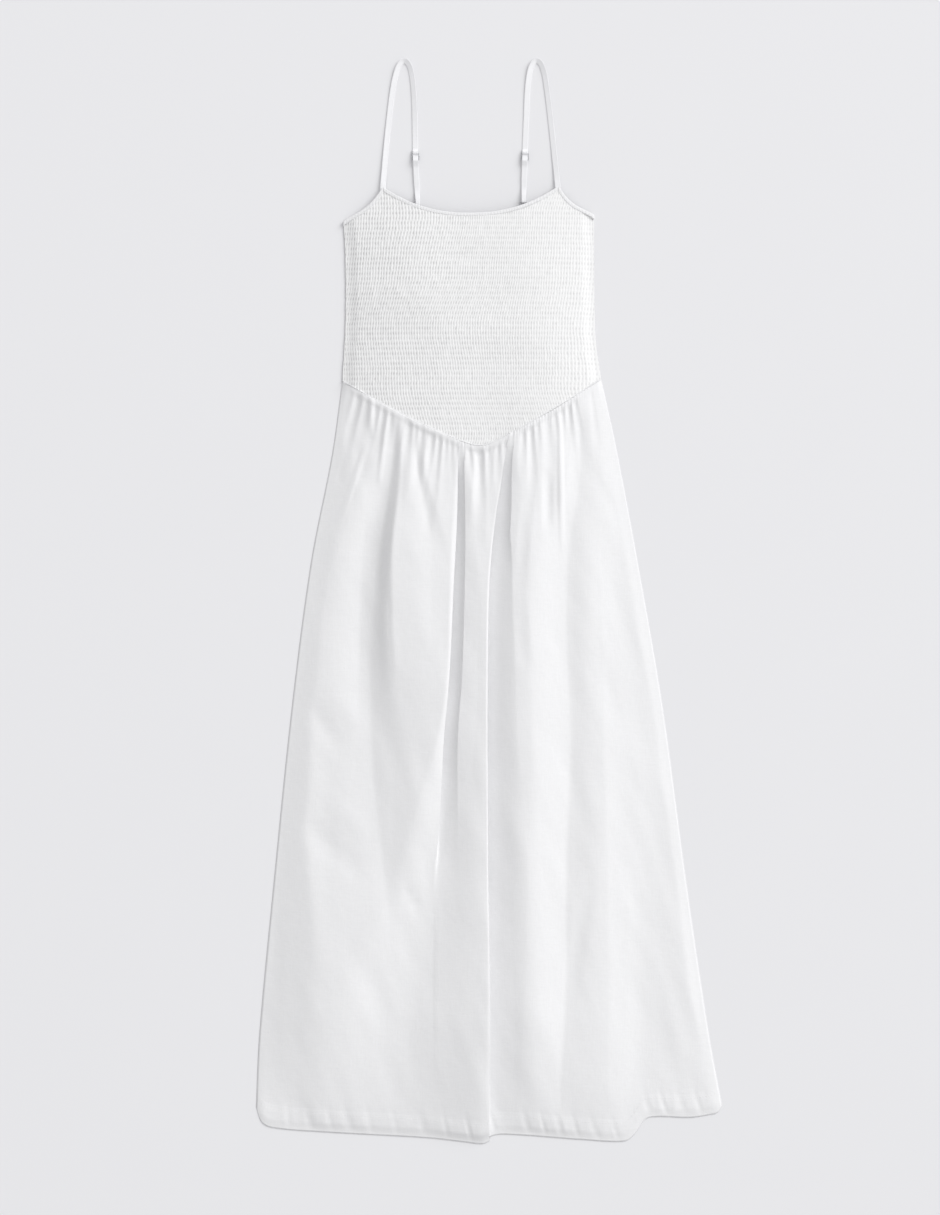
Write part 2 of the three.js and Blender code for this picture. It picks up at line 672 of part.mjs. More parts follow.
function skirtBack() {
  const columns = steps([0, TIP_ACROSS, 1], BACK_COLUMNS);
  const rows = SKIRT_ROWS.filter((_, i) => i % 2 === 0);
  const layer = (z) => rows.map((v) => columns.map((u) => skirtPoint(u, v, z, BACK_HEM_UP)));
  return wall(layer(CLOTH), layer(0));
}

function piece(name, geometry, material) {
  const mesh = new THREE.Mesh(geometry, material);
  mesh.name = name;
  return mesh;
}

const { left: cornerL, right: cornerR } = STRAP_CORNER;
const halfGap = SEAM_GAP / 2;
const frontBinding = (from, to, count) => binding(frontTopY, from, to, count, BINDING_THICK, bodiceFloor);
const neckColumns = SMOCK_COLUMNS.neckL + SMOCK_COLUMNS.neckR;
const neckline = frontBinding(cornerL.x + halfGap, cornerR.x - halfGap, neckColumns);
const armholeL = frontBinding(UNDERARM.left.x, cornerL.x - halfGap, SMOCK_COLUMNS.armhole);
const armholeR = frontBinding(cornerR.x + halfGap, UNDERARM.right.x, SMOCK_COLUMNS.armhole);
const backEdge = binding(backTopY, UNDERARM.left.x, UNDERARM.right.x, 24, CLOTH, () => 0);

const dress = new THREE.Group();
dress.name = "dress";
dress.add(
  piece("bodice_front", bodiceFront(), white),
  piece("bodice_back", bodiceBack(), white),
  piece("skirt_front", skirtFront(), white),
  piece("skirt_back", skirtBack(), white),
  piece("neckline_binding", neckline, white),
  piece("armhole_binding_left", armholeL, white),
  piece("armhole_binding_right", armholeR, white),
  piece("back_binding", backEdge, white),
);
for (const side of ["left", "right"])
  dress.add(
    piece(`strap_${side}`, strap(STRAP[side]), white),
    piece(`slider_${side}`, slider(STRAP[side]), metal),
    piece(`ring_${side}`, ring(STRAP[side]), metal),
    piece(`ring_tab_${side}`, ringTab(STRAP[side]), white),
  );

export default dress;
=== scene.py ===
"""A white cotton maxi dress lies face up on a pale floor and is seen from straight above: a shirred bodice
with a V waist seam, a long gathered skirt with a turned hem, bound edges and narrow adjustable straps."""
import math

import bmesh
import bpy
import numpy as np
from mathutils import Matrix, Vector


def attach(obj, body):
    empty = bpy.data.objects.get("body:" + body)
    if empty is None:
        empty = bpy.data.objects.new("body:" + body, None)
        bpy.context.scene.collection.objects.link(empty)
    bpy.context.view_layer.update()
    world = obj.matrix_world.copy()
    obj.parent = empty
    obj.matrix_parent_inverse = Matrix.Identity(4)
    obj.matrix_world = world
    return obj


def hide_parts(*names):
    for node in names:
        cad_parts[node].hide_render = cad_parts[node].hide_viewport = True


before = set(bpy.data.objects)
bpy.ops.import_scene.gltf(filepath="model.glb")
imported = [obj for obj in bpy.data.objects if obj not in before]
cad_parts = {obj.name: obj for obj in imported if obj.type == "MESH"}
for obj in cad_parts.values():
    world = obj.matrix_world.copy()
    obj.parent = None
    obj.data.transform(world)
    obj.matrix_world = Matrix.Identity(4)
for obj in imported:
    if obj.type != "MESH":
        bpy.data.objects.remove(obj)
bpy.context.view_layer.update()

MM = 0.001


# Sizes, in millimetres in the row frame

CLOTH = 1.5  # the solid wall that a panel of thin cloth stands for
FRONT_FLOOR = 1.8  # the front's wall starts here, above the back's
BACK_Z = 0.95  # the outer level of the back's cloth, which lies on the floor
COTTON = 0.36  # the cloth's own thickness
FRONT_REST = 1.9  # the outer level of the skirt's front where it lies straight on the back
BACK_INSET = 6  # the skirt's front laps round the back by this much
EDGE_LEAN = 0.3  # how steeply the skirt's front comes down to the floor at its sides
SKIRT_LONG = 840  # about what lies between the waist seam and the hem
SEAM_RISE = 1.8  # how far above the bodice's own rise the skirt's front starts at the waist seam
SEAM_FALL = 50  # below the seam, the skirt's front takes this much to come to its own level
HEM_FALL = 150  # above the hem, it takes this much to sink to the floor
HEM_DEEP = 25
HEM_LAYER, HEM_GROOVE = 0.5, 0.35  # how much the turned-up layer adds, and its stitching draws in
BINDING_WIDE = 4.4
BINDING_THICK = 2.1
EDGE_STITCH, STRAP_STITCH = 3.1, 3.2  # from one stitch to the next
SHIRR_ROW = 6  # between two rows of elastic thread
PLEAT = 3.15  # between two of the small pleats that the elastic draws up
PLEAT_DEEP = 1.15
SEAM_GAP = 0.3
STRAP_WIDE = 6.6
STRAP_THICK = 0.9
BUNCHED = 4.8
RING_HOLE = 8
RING_WIRE = 1.4

# The outline's corners, with X to the right and Y towards the neck
CORNER_L, CORNER_R = (-127, 497), (83, 498)
UNDERARM_L, UNDERARM_R = (-175, 456), (126, 464)
WAIST_L, WAIST_TIP, WAIST_R = (-176, 265), (-10, 187), (134.5, 267)
WAIST_BOW_L, WAIST_BOW_R, TIP_ROUND = 4.5, 2.5, 0.07
NECK_DROP, NECK_SQUARE, ARMHOLE_SCOOP = 32, 2.25, 6.5


def table(names, *rows):
    """A table with named columns, one row for each section or stop."""
    return dict(zip(names.split(), np.array(rows, float).T))


BACK_TOP = table("x y", (-175, 456), (-85.4, 461.5), (-22, 460), (41.4, 465.5), (126, 464))

BODICE = table(
    "y left right stand",
    (186, -176, 134.5, 12),
    (265, -176, 134.5, 12),
    (308, -173.4, 128.5, 12.5),
    (360, -171.8, 126.5, 13),
    (420, -172.6, 126, 11),
    (466, -175, 126, 8.5),
    (500, -175, 126, 5),
)
BODICE_SLOPE_L, BODICE_SLOPE_R = 125, 96

# Down the skirt, v runs from 0 at the waist seam to 1 at the hem, and u from 0 at its left side to 1
SKIRT = table(
    "v left right stand",
    (0, -176, 134.5, 12),
    (0.1, -188, 153.5, 17),
    (0.25, -213.5, 178, 22),
    (0.45, -236.5, 208, 24),
    (0.7, -259, 237.5, 25.5),
    (0.9, -275.5, 263.5, 25),
    (1, -279.5, 279.5, 24),
)

HEM = table(
    "u y",
    (0, -606), (0.012, -624), (0.04, -631), (0.15, -636), (0.37, -643), (0.45, -648), (0.485, -650),
    (0.5, -647), (0.516, -640.5), (0.54, -638.5), (0.7, -645), (0.79, -647), (0.81, -640), (0.835, -621),
    (0.86, -617.5), (0.93, -618.5), (0.975, -615), (0.992, -612), (1, -604),
)

# How each side rises from the floor: a band that leans outward takes its share of the height, then after a
# flat stretch the rest is reached slowly
SIDES = table(
    "v band_l share_l reach_l band_r share_r flat_r reach_r",
    (0, 18, 0.25, 100, 14, 0.25, 0, 90),
    (0.1, 20, 0.22, 120, 12, 0.17, 0, 110),
    (0.25, 21, 0.2, 160, 10, 0.11, 0, 150),
    (0.42, 21, 0.19, 200, 10, 0.08, 0, 190),
    (0.48, 24, 0.21, 220, 10, 0.08, 0, 195),
    (0.56, 27, 0.24, 230, 10, 0.08, 5, 195),
    (0.63, 31, 0.29, 240, 10, 0.08, 15, 195),
    (0.69, 44, 0.42, 240, 10, 0.09, 25, 195),
    (0.79, 62, 0.58, 240, 10, 0.09, 40, 190),
    (0.88, 74, 0.66, 240, 10, 0.1, 45, 185),
    (1, 88, 0.72, 240, 10, 0.1, 50, 180),
)

# The long folds' lowest lines: how far each flank reaches from there, and how much it rounds off at the foot
FOLD = "v u deep left right soft"
VALLEYS = [
    table(
        FOLD,
        (0, 0.215, 4, 8, 6, 0), (0.067, 0.207, 6, 18, 9, 0.5), (0.127, 0.196, 7, 32, 13, 1),
        (0.183, 0.19, 7.5, 44, 15, 1), (0.29, 0.191, 7.5, 48, 19, 1), (0.374, 0.2, 7, 50, 28, 0.6),
        (0.454, 0.217, 5.5, 54, 44, 0.3), (0.535, 0.235, 4, 56, 48, 0.2), (0.616, 0.26, 3.5, 54, 44, 0),
        (0.7, 0.282, 1.5, 45, 36, 0), (0.8, 0.3, 0, 40, 36, 0), (1, 0.3, 0, 40, 36, 0),
    ),
    table(
        FOLD,
        (0, 0.465, 1, 5, 5, 0), (0.03, 0.458, 2, 5, 9, 0), (0.087, 0.45, 3, 6, 15, 0),
        (0.144, 0.443, 4, 6, 20, 0), (0.2, 0.444, 5, 6, 28, 0), (0.34, 0.437, 6, 6, 36, 0),
        (0.43, 0.422, 7, 12, 42, 0), (0.516, 0.415, 8, 30, 44, 0.3), (0.603, 0.403, 8.5, 46, 54, 1),
        (0.69, 0.375, 9, 60, 72, 1), (0.78, 0.345, 9, 90, 84, 1), (0.86, 0.33, 9, 100, 90, 1),
        (1, 0.31, 9, 105, 94, 1),
    ),
    table(
        FOLD,
        (0, 0.655, 2, 5, 5, 0), (0.034, 0.632, 3, 5, 9, 0), (0.071, 0.608, 3.5, 5, 18, 0),
        (0.098, 0.591, 4, 5, 28, 0), (0.139, 0.574, 6, 5, 38, 0), (0.195, 0.56, 7, 5, 44, 0),
        (0.34, 0.546, 7, 5, 46, 0), (0.43, 0.54, 7, 5, 50, 0), (0.6, 0.5335, 7, 5, 54, 0),
        (0.775, 0.53, 6, 5, 62, 0.1), (0.86, 0.5255, 6, 5, 70, 0.2), (1, 0.512, 6, 5, 84, 0.3),
    ),
    table(
        FOLD,
        (0, 0.914, 3, 8, 6, 0), (0.084, 0.877, 5, 14, 14, 0.5), (0.134, 0.848, 5.5, 24, 22, 0.5),
        (0.178, 0.808, 6.5, 40, 30, 0.3), (0.28, 0.774, 7.5, 44, 32, 0.3), (0.444, 0.752, 8.5, 46, 38, 0.3),
        (0.61, 0.719, 9, 46, 46, 0.2), (0.776, 0.698, 9, 48, 54, 0), (0.946, 0.662, 8.5, 46, 66, 0),
        (1, 0.655, 8, 46, 68, 0),
    ),
    table(
        FOLD,
        (0, 0.285, 2, 8, 6, 0), (0.065, 0.297, 3, 14, 9, 0), (0.155, 0.355, 2, 30, 20, 0.5),
        (0.262, 0.396, 0.8, 30, 22, 1), (0.36, 0.4, 0, 26, 22, 1), (1, 0.4, 0, 26, 22, 1),
    ),
    table(
        FOLD,
        (0.5, 0.93, 0, 36, 30, 1), (0.64, 0.93, 2, 40, 30, 1), (0.78, 0.882, 5, 40, 54, 0.5),
        (0.9, 0.868, 6, 40, 62, 0.5), (1, 0.86, 6, 40, 66, 0.5),
    ),
]

# Folds that roll over: the cloth on the left comes straight down under its own crest, then runs low as far as
# a steep side on the right
PLEAT_FOLD = "v u deep left right power"
DEEP_FOLDS = [
    table(
        PLEAT_FOLD,
        (0, 0.465, 2, 3, 3, 1), (0.03, 0.458, 6, 4, 3.5, 0.6), (0.087, 0.455, 8.5, 5, 4, 0.5),
        (0.144, 0.452, 9, 5, 6, 0.4), (0.2, 0.449, 9.5, 5, 8, 0.4), (0.258, 0.446, 10, 5, 9, 0.4),
        (0.343, 0.437, 10, 5, 10, 0.4), (0.428, 0.422, 8, 5, 11, 0.7), (0.51, 0.4145, 6, 5, 15, 1.1),
        (0.58, 0.407, 3, 5, 20, 1.5), (0.65, 0.4, 0, 5, 24, 1.5), (1, 0.4, 0, 5, 24, 1.5),
    ),
    table(
        PLEAT_FOLD,
        (0, 0.655, 3, 3, 3, 1), (0.034, 0.632, 6, 5, 5, 0.5), (0.071, 0.608, 7.5, 5, 9, 0.5),
        (0.098, 0.591, 9, 5, 13, 0.4), (0.139, 0.575, 10, 5, 16, 0.5), (0.195, 0.562, 10, 5, 22, 1.1),
        (0.34, 0.547, 11, 5, 29, 1.6), (0.43, 0.54, 12, 5, 32, 1.7), (0.6, 0.5335, 12.5, 5, 43, 1.9),
        (0.7, 0.531, 13.5, 5, 48, 2), (0.775, 0.529, 14.5, 5, 53, 2), (0.86, 0.5235, 16, 5, 60, 2),
        (1, 0.51, 18, 5, 68, 2),
    ),
]

# The powers that shape a valley's sides, a crest's sides, and the wall under a rolled fold's crest
FLANK_CURVE, CREST_CURVE, UNDER_CURVE = 1.5, 1.3, 0.4
DEEPEST = 0.92  # the share of the cloth's height that a rolled fold may go down
ROLL_BACK = 1.15  # how far it goes back under its crest, as a share of its left flank
ROLLS_AT = 4  # a fold of this depth rolls over in full

# Crests that stand above the general level
CREST = "v u high left right"
CRESTS = [
    table(
        CREST,
        (0, 0.6, 0, 12, 24), (0.12, 0.575, 0, 12, 24), (0.2, 0.556, 0.8, 14, 24),
        (0.43, 0.531, 1.2, 16, 24), (0.6, 0.521, 1.5, 45, 24), (0.69, 0.5175, 3, 66, 28),
        (0.78, 0.514, 4, 84, 32), (0.86, 0.509, 5, 92, 34), (1, 0.495, 6, 96, 34),
    ),
    table(
        CREST,
        (0, 0.24, 0, 10, 24), (0.08, 0.236, 0, 10, 30), (0.175, 0.235, 5, 12, 46),
        (0.287, 0.258, 4.5, 16, 46), (0.4, 0.28, 0, 20, 46), (1, 0.28, 0, 20, 46),
    ),
    table(
        CREST,
        (0, 0.95, 0, 20, 20), (0.1, 0.93, 0, 24, 25), (0.2, 0.895, 3, 30, 40), (0.306, 0.874, 5, 34, 46),
        (0.47, 0.839, 5.5, 36, 46), (0.63, 0.819, 5.5, 38, 44), (0.78, 0.798, 5.5, 42, 42),
        (0.92, 0.772, 5, 46, 40), (1, 0.765, 5, 46, 40),
    ),
]

# Short gathers under the waist seam: where each starts, how far it drifts and runs, its depth and half-width
GATHERS = table(
    "u drift run deep wide",
    (0.018, -0.01, 0.05, 1.6, 3.5), (0.036, -0.03, 0.08, 2.5, 4), (0.07, -0.05, 0.13, 4.2, 5),
    (0.104, -0.02, 0.07, 2.6, 4), (0.138, -0.02, 0.08, 3.2, 4), (0.166, -0.025, 0.12, 3.6, 4.5),
    (0.193, -0.01, 0.06, 2.4, 3.5), (0.245, -0.012, 0.05, 2.0, 3), (0.263, -0.028, 0.13, 4.6, 5),
    (0.288, -0.01, 0.06, 2.4, 3.5), (0.311, -0.02, 0.12, 3.8, 4.5), (0.331, -0.01, 0.05, 2, 3),
    (0.351, -0.035, 0.15, 4.2, 5), (0.378, -0.05, 0.18, 3.8, 4.5), (0.402, -0.015, 0.1, 2.8, 4),
    (0.422, -0.01, 0.08, 2.8, 3.5), (0.442, -0.005, 0.05, 2, 3), (0.49, 0, 0.06, 2.8, 3.5),
    (0.51, 0.01, 0.04, 1.8, 3), (0.532, -0.03, 0.17, 5, 6), (0.564, -0.01, 0.09, 2.8, 4),
    (0.582, -0.01, 0.05, 2, 3), (0.6, -0.015, 0.08, 3.2, 4), (0.628, -0.02, 0.06, 2.4, 3.5),
    (0.697, -0.02, 0.06, 2.8, 3.5), (0.726, -0.03, 0.13, 3.8, 4.5), (0.75, -0.01, 0.06, 2.4, 3.5),
    (0.788, -0.045, 0.2, 2.4, 7), (0.816, -0.01, 0.06, 2.4, 3.5), (0.845, -0.02, 0.1, 3.2, 4),
    (0.87, -0.03, 0.12, 4, 4.5), (0.895, -0.01, 0.07, 2.4, 3.5), (0.958, -0.01, 0.1, 3, 4.5),
    (0.98, 0, 0.06, 1.8, 3),
)

# Creases that lie at a slant, from one point to the other: raised if high is above nought
CREASES = table(
    "x0 y0 x1 y1 high wide",
    (-141, 250, -141, 196, 1.4, 5), (-121, 232, -132, 140, 1.5, 4.5), (-146, 190, -190, 68, 2, 5.5),
    (-172, 196, -202, 92, 1.8, 4.5), (49, 160, 35, 0, -1.2, 10), (35, 10, 44, -80, -0.9, 11),
    (70, 158, 70, 86, -1.8, 8), (85, 226, 87, 60, 1.6, 5), (-222, -116, -172, -182, -1.5, 16),
    (-190, -108, -150, -150, 0.8, 13), (-228, -258, -152, -330, -1.8, 18), (-196, -232, -140, -282, 0.9, 14),
    (-104, -340, -80, -372, -1.6, 9), (118, -40, 150, -150, -1.2, 18), (-150, -420, -120, -520, -1.3, 20),
    (120, -330, 96, -470, -1.2, 14), (262, -470, 270, -612, 1.5, 7), (200, -560, 222, -612, -1.4, 9),
)

# Small upright puckers in the hem's turned-up band
PUCKERS = table(
    "u wide deep",
    (0.07, 5, 0.5), (0.115, 7, 0.7), (0.16, 5, 0.5), (0.2, 8, 0.9), (0.245, 6, 0.7), (0.3, 5, 0.5),
    (0.36, 7, 0.7), (0.41, 5, 0.6), (0.46, 5, 0.9), (0.52, 4, 0.7), (0.585, 6, 0.8), (0.62, 4, 0.6),
    (0.655, 6, 0.9), (0.69, 5, 0.7), (0.73, 7, 0.8), (0.775, 5, 0.6), (0.845, 6, 0.8), (0.88, 5, 0.9),
    (0.92, 7, 0.6), (0.955, 5, 0.8),
)

# Each strap from the front corner over its top and down to the back. Its lean is in degrees
ROUTE = "x y rest lean"
STRAPS = {
    "left": {
        "ring": (-85.4, 471.5),
        "slider": (-88.2, 534),
        "route": table(
            ROUTE,
            (-127.2, 489, 3.6, 0), (-127, 499, 2.6, 2.5), (-126, 514, 0.8, 9.5), (-123.6, 542, 0, 11),
            (-120, 578, 0, 5), (-115.8, 612, 0, 7), (-111.6, 633, 0, 13.75), (-107, 644.6, 0, 20),
            (-101.6, 649.35, 0, 22.5), (-96.2, 644.6, 0, 21), (-92.6, 633, 0, 16.5), (-90, 608, 0, 13.75),
            (-89, 578, 0, 7.5), (-88.6, 552, 0, 0), (-88.2, 534, 0, 0), (-87.2, 505, 0, 0),
            (-85.6, 484, 0, 0),
        ),
    },
    "right": {
        "ring": (41.4, 475.6),
        "slider": (43, 534),
        "route": table(
            ROUTE,
            (82.8, 490, 3.6, 0), (82.4, 500, 2.6, -2.5), (80.6, 516, 0.8, -8.5), (76.8, 552, 0, -10),
            (72.4, 592, 0, -11.25), (68.8, 620, 0, -14.5), (66.4, 634, 0, -17.5), (62.8, 644.6, 0, -21),
            (57.4, 649.35, 0, -22.5), (52, 644.6, 0, -20.5), (48.6, 634, 0, -13), (46, 612, 0, -5),
            (44.6, 578, 0, -1.5), (43.4, 552, 0, 0), (43, 534, 0, 0), (42, 508, 0, 0), (41.4, 488, 0, 0),
        ),
    },
}
RING_UP = 2.7  # the level of the ring's wire
RING_WRAP = RING_WIRE / 2 + STRAP_THICK / 2 + 0.5
RING_REACH = (RING_HOLE + RING_WIRE) / 2 - 0.3
SLIDER_WIDE, SLIDER_LONG, SLIDER_BAR = 9, 10.8, 0.9
SLIDER_UP = 2.5
BAR_WRAP = SLIDER_BAR / 2 + STRAP_THICK / 2 + 0.1
OVER_STRAP = STRAP_THICK * 1.5 + SEAM_GAP


# Curves through the tables

def mix(a, b, t):
    return a + (b - a) * t


def read(rows, column, at):
    """One column of a table at places along its first, on the same smooth curve as the solids'."""
    x, y = next(iter(rows.values())), rows[column]
    at = np.clip(at, x[0], x[-1])
    i = np.clip(np.searchsorted(x, at, side="right") - 1, 0, len(x) - 2)
    n = np.arange(len(x))
    before, after = np.maximum(n - 1, 0), np.minimum(n + 1, len(x) - 1)
    slope = (y[after] - y[before]) / (x[after] - x[before])
    step, rise = x[i + 1] - x[i], y[i + 1] - y[i]
    t = (at - x[i]) / step
    bend = (1 - t) * (slope[i] * step - rise) - t * (slope[i + 1] * step - rise)
    return y[i] + t * rise + t * (1 - t) * bend


def hump(distance, half_width):
    """1 in the middle of a fold, 0 from its half-width out."""
    return (1 - np.minimum(1, np.abs(distance) / half_width) ** 2) ** 2


def flanks(distance, left, right, power, soft=0):
    """1 on a fold's line, falling to 0 at the ends of its two flanks, which meet at an angle or softly."""
    off = np.hypot(distance, 1.4) - 1.4
    t = np.minimum(1, off / np.where(distance < 0, left, right))
    return mix((1 - t) ** power, 1 - t * t * (3 - 2 * t), soft)


def eased(distance, reach):
    """0 at nought and 1 from the reach on, level at both ends."""
    t = np.clip(distance / reach, 0, 1)
    return t * t * (3 - 2 * t)


def slope_up(distance, reach):
    """How much of its full stand a panel has at a distance in from its edge."""
    return 1 - (1 - np.clip(distance / reach, 0, 1)) ** 2


def side_rise(distance, band, share, flat, reach):
    """How far a side has risen at a distance in from its edge."""
    t = distance / band
    ramp = np.clip(0.5 * (t + 1 - np.hypot(t - 1, 0.16)), 0, 1)
    return share * ramp + (1 - share) * eased(distance - flat, reach)


def settle(height):
    """A height that would come out below the layer underneath settles on it."""
    high = np.maximum(height, 0)
    return high * high / (high + 1.2)


NOISE_CELLS = (97, 89)


def wander(x, y, seed):
    """Smooth seeded noise between -1 and 1, one cell to a unit."""
    cells = np.random.default_rng(seed).uniform(-1, 1, NOISE_CELLS)
    i, j = np.floor(x).astype(int), np.floor(y).astype(int)
    a, b = eased(x - i, 1), eased(y - j, 1)

    def corner(p, q):
        return cells[(i + p) % NOISE_CELLS[0], (j + q) % NOISE_CELLS[1]]

    return mix(mix(corner(0, 0), corner(1, 0), a), mix(corner(0, 1), corner(1, 1), a), b)


def waist_y(x):
    """The V of the waist seam."""
    left = x < WAIST_TIP[0]
    end_x = np.where(left, WAIST_L[0], WAIST_R[0])
    end_y = np.where(left, WAIST_L[1], WAIST_R[1])
    bow = np.where(left, WAIST_BOW_L, WAIST_BOW_R)
    t = np.clip((x - WAIST_TIP[0]) / (end_x - WAIST_TIP[0]), 0, 1)
    up = np.hypot(t, TIP_ROUND) - TIP_ROUND * (1 - t)
    return mix(WAIST_TIP[1], end_y, up) - bow * 4 * t * (1 - t)


def front_top_y(x):
    """The front's upper outline: armhole, neckline, armhole."""
    across = np.clip((x - CORNER_L[0]) / (CORNER_R[0] - CORNER_L[0]), 0, 1)
    neck = mix(CORNER_L[1], CORNER_R[1], across) - NECK_DROP * (1 - np.abs(2 * across - 1) ** NECK_SQUARE)
    left = x < CORNER_L[0]
    arm_x = np.where(left, UNDERARM_L[0], UNDERARM_R[0])
    arm_y = np.where(left, UNDERARM_L[1], UNDERARM_R[1])
    top_x = np.where(left, CORNER_L[0], CORNER_R[0])
    top_y = np.where(left, CORNER_L[1], CORNER_R[1])
    t = np.clip((x - arm_x) / (top_x - arm_x), 0, 1)
    arm = mix(arm_y, top_y, t) - ARMHOLE_SCOOP * np.sin(np.pi * t**1.4)
    return np.where((x >= CORNER_L[0]) & (x <= CORNER_R[0]), neck, arm)


def back_top_y(x):
    return read(BACK_TOP, "y", x)


def across_edge(edge, x):
    """How long a width across an edge comes out along Y."""
    before = np.abs(edge(x) - edge(x - 0.5)) * 2
    after = np.abs(edge(x + 0.5) - edge(x)) * 2
    return np.hypot(1, np.minimum(1.3, np.maximum(before, after)))


def bodice_x(u, y):
    return mix(read(BODICE, "left", y), read(BODICE, "right", y), u)


def bodice_floor(x, y):
    left = slope_up(x - read(BODICE, "left", y), BODICE_SLOPE_L)
    right = slope_up(read(BODICE, "right", y) - x, BODICE_SLOPE_R)
    return FRONT_FLOOR + read(BODICE, "stand", y) * left * right


def bodice_ends(u, edge, under):
    """Where a bodice panel's columns end: its upper edge, less what lies under the binding, and the waist."""
    top = np.full_like(u, UNDERARM_L[1], dtype=float)
    foot = np.full_like(u, WAIST_L[1], dtype=float)
    for _ in range(5):
        x = bodice_x(u, top)
        top = edge(x) - under * across_edge(edge, x)
        foot = waist_y(bodice_x(u, foot))
    return top, foot


def skirt_ends(u, hem_up=0):
    seam = waist_y(mix(WAIST_L[0], WAIST_R[0], u)) + 0.1
    return seam, read(HEM, "y", u) + hem_up


def skirt_wide(v):
    return read(SKIRT, "right", v) - read(SKIRT, "left", v)


def skirt_xy(u, v, hem_up=0):
    seam, hem = skirt_ends(u, hem_up)
    x = mix(read(SKIRT, "left", v), read(SKIRT, "right", v), u)
    return x, mix(seam, hem, v)


def creased(x, y):
    """The slanting creases' height at a place."""
    height = np.zeros_like(x)
    for x0, y0, x1, y1, high, wide in zip(*CREASES.values()):
        run = np.array([x1 - x0, y1 - y0])
        length = np.hypot(*run)
        ahead = run / length
        along = ((x - x0) * ahead[0] + (y - y0) * ahead[1]) / length
        off = (x - x0) * ahead[1] - (y - y0) * ahead[0]
        fade = np.sin(np.pi * np.clip(along, 0, 1)) ** 0.8
        height += high * fade * hump(off, wide)
    return height


def beside(rows, u, v, wide):
    """(how far to the right of a fold's line a place is, how far its left flank reaches, and its right)."""
    return (u - read(rows, "u", v)) * wide, read(rows, "left", v), read(rows, "right", v)


def rolled(u, v, wide):
    """How far to the left the cloth beyond a rolled-over crest lies."""
    shift = np.zeros_like(u)
    for rows in DEEP_FOLDS:
        off, left, right = beside(rows, u, v, wide)
        share = ROLL_BACK * np.clip(read(rows, "deep", v) / ROLLS_AT, 0, 1)
        under, beyond = np.clip(1 + off / left, 0, 1), np.clip(1 - off / right, 0, 1) ** 2
        shift = shift + share * left * np.where(off < 0, under, beyond)
    return shift


def skirt_front_xy(u, v):
    wide = skirt_wide(v)
    x, y = skirt_xy(u, v)
    return x - rolled(u, v, wide), y


def skirt_body(u, v, wide):
    """(how high the skirt's front stands, what its long folds add), before it is drawn in at the sides."""
    stand = read(SKIRT, "stand", v)
    height = stand
    for rows in VALLEYS:
        fold = flanks(*beside(rows, u, v, wide), FLANK_CURVE, read(rows, "soft", v))
        height = height - read(rows, "deep", v) * fold
    for rows in CRESTS:
        height = height + read(rows, "high", v) * flanks(*beside(rows, u, v, wide), CREST_CURVE)
    for rows in DEEP_FOLDS:
        off, left, right = beside(rows, u, v, wide)
        deep = np.minimum(read(rows, "deep", v), DEEPEST * height)
        # The side under the crest drops at once
        power = np.where(off < 0, UNDER_CURVE, read(rows, "power", v))
        height = height - deep * np.clip(1 - np.abs(off) / np.where(off < 0, left, right), 0, 1) ** power
    return stand, height - stand


def gathered(u, v, wide):
    """How deep the short gathers under the waist seam go at a place."""
    depth = np.zeros_like(u)
    for start, drift, run, deep, half in zip(*GATHERS.values()):
        down = np.clip(v / run, 0, 1)
        off = (u - start - drift * down) * wide
        depth = depth + 0.8 * deep * (1 - down) ** 1.2 * hump(off, half * (1 + 1.3 * down))
    return depth


def hemmed(x, y, u, wide, from_hem):
    """What the hem adds: a turned-up layer, the groove of its stitching, and the puckers this draws."""
    band = np.clip((HEM_DEEP + 1.5 - from_hem) / 2, 0, 1)
    added = HEM_LAYER * band - HEM_GROOVE * hump(from_hem - HEM_DEEP + 1.5, 2.2)
    for at, half, deep in zip(*PUCKERS.values()):
        off = (u - at) * wide + 0.15 * (from_hem - 12)
        added = added - deep * hump(off, half) * np.clip(1.6 - from_hem / 24, 0, 1)
    added = added + 0.22 * wander(x / 6, y / 60, 8) * np.clip(1.7 - from_hem / 22, 0, 1)
    # The hem's edge is a rounded fold
    return added - 0.5 * np.exp(-from_hem / 2) * band


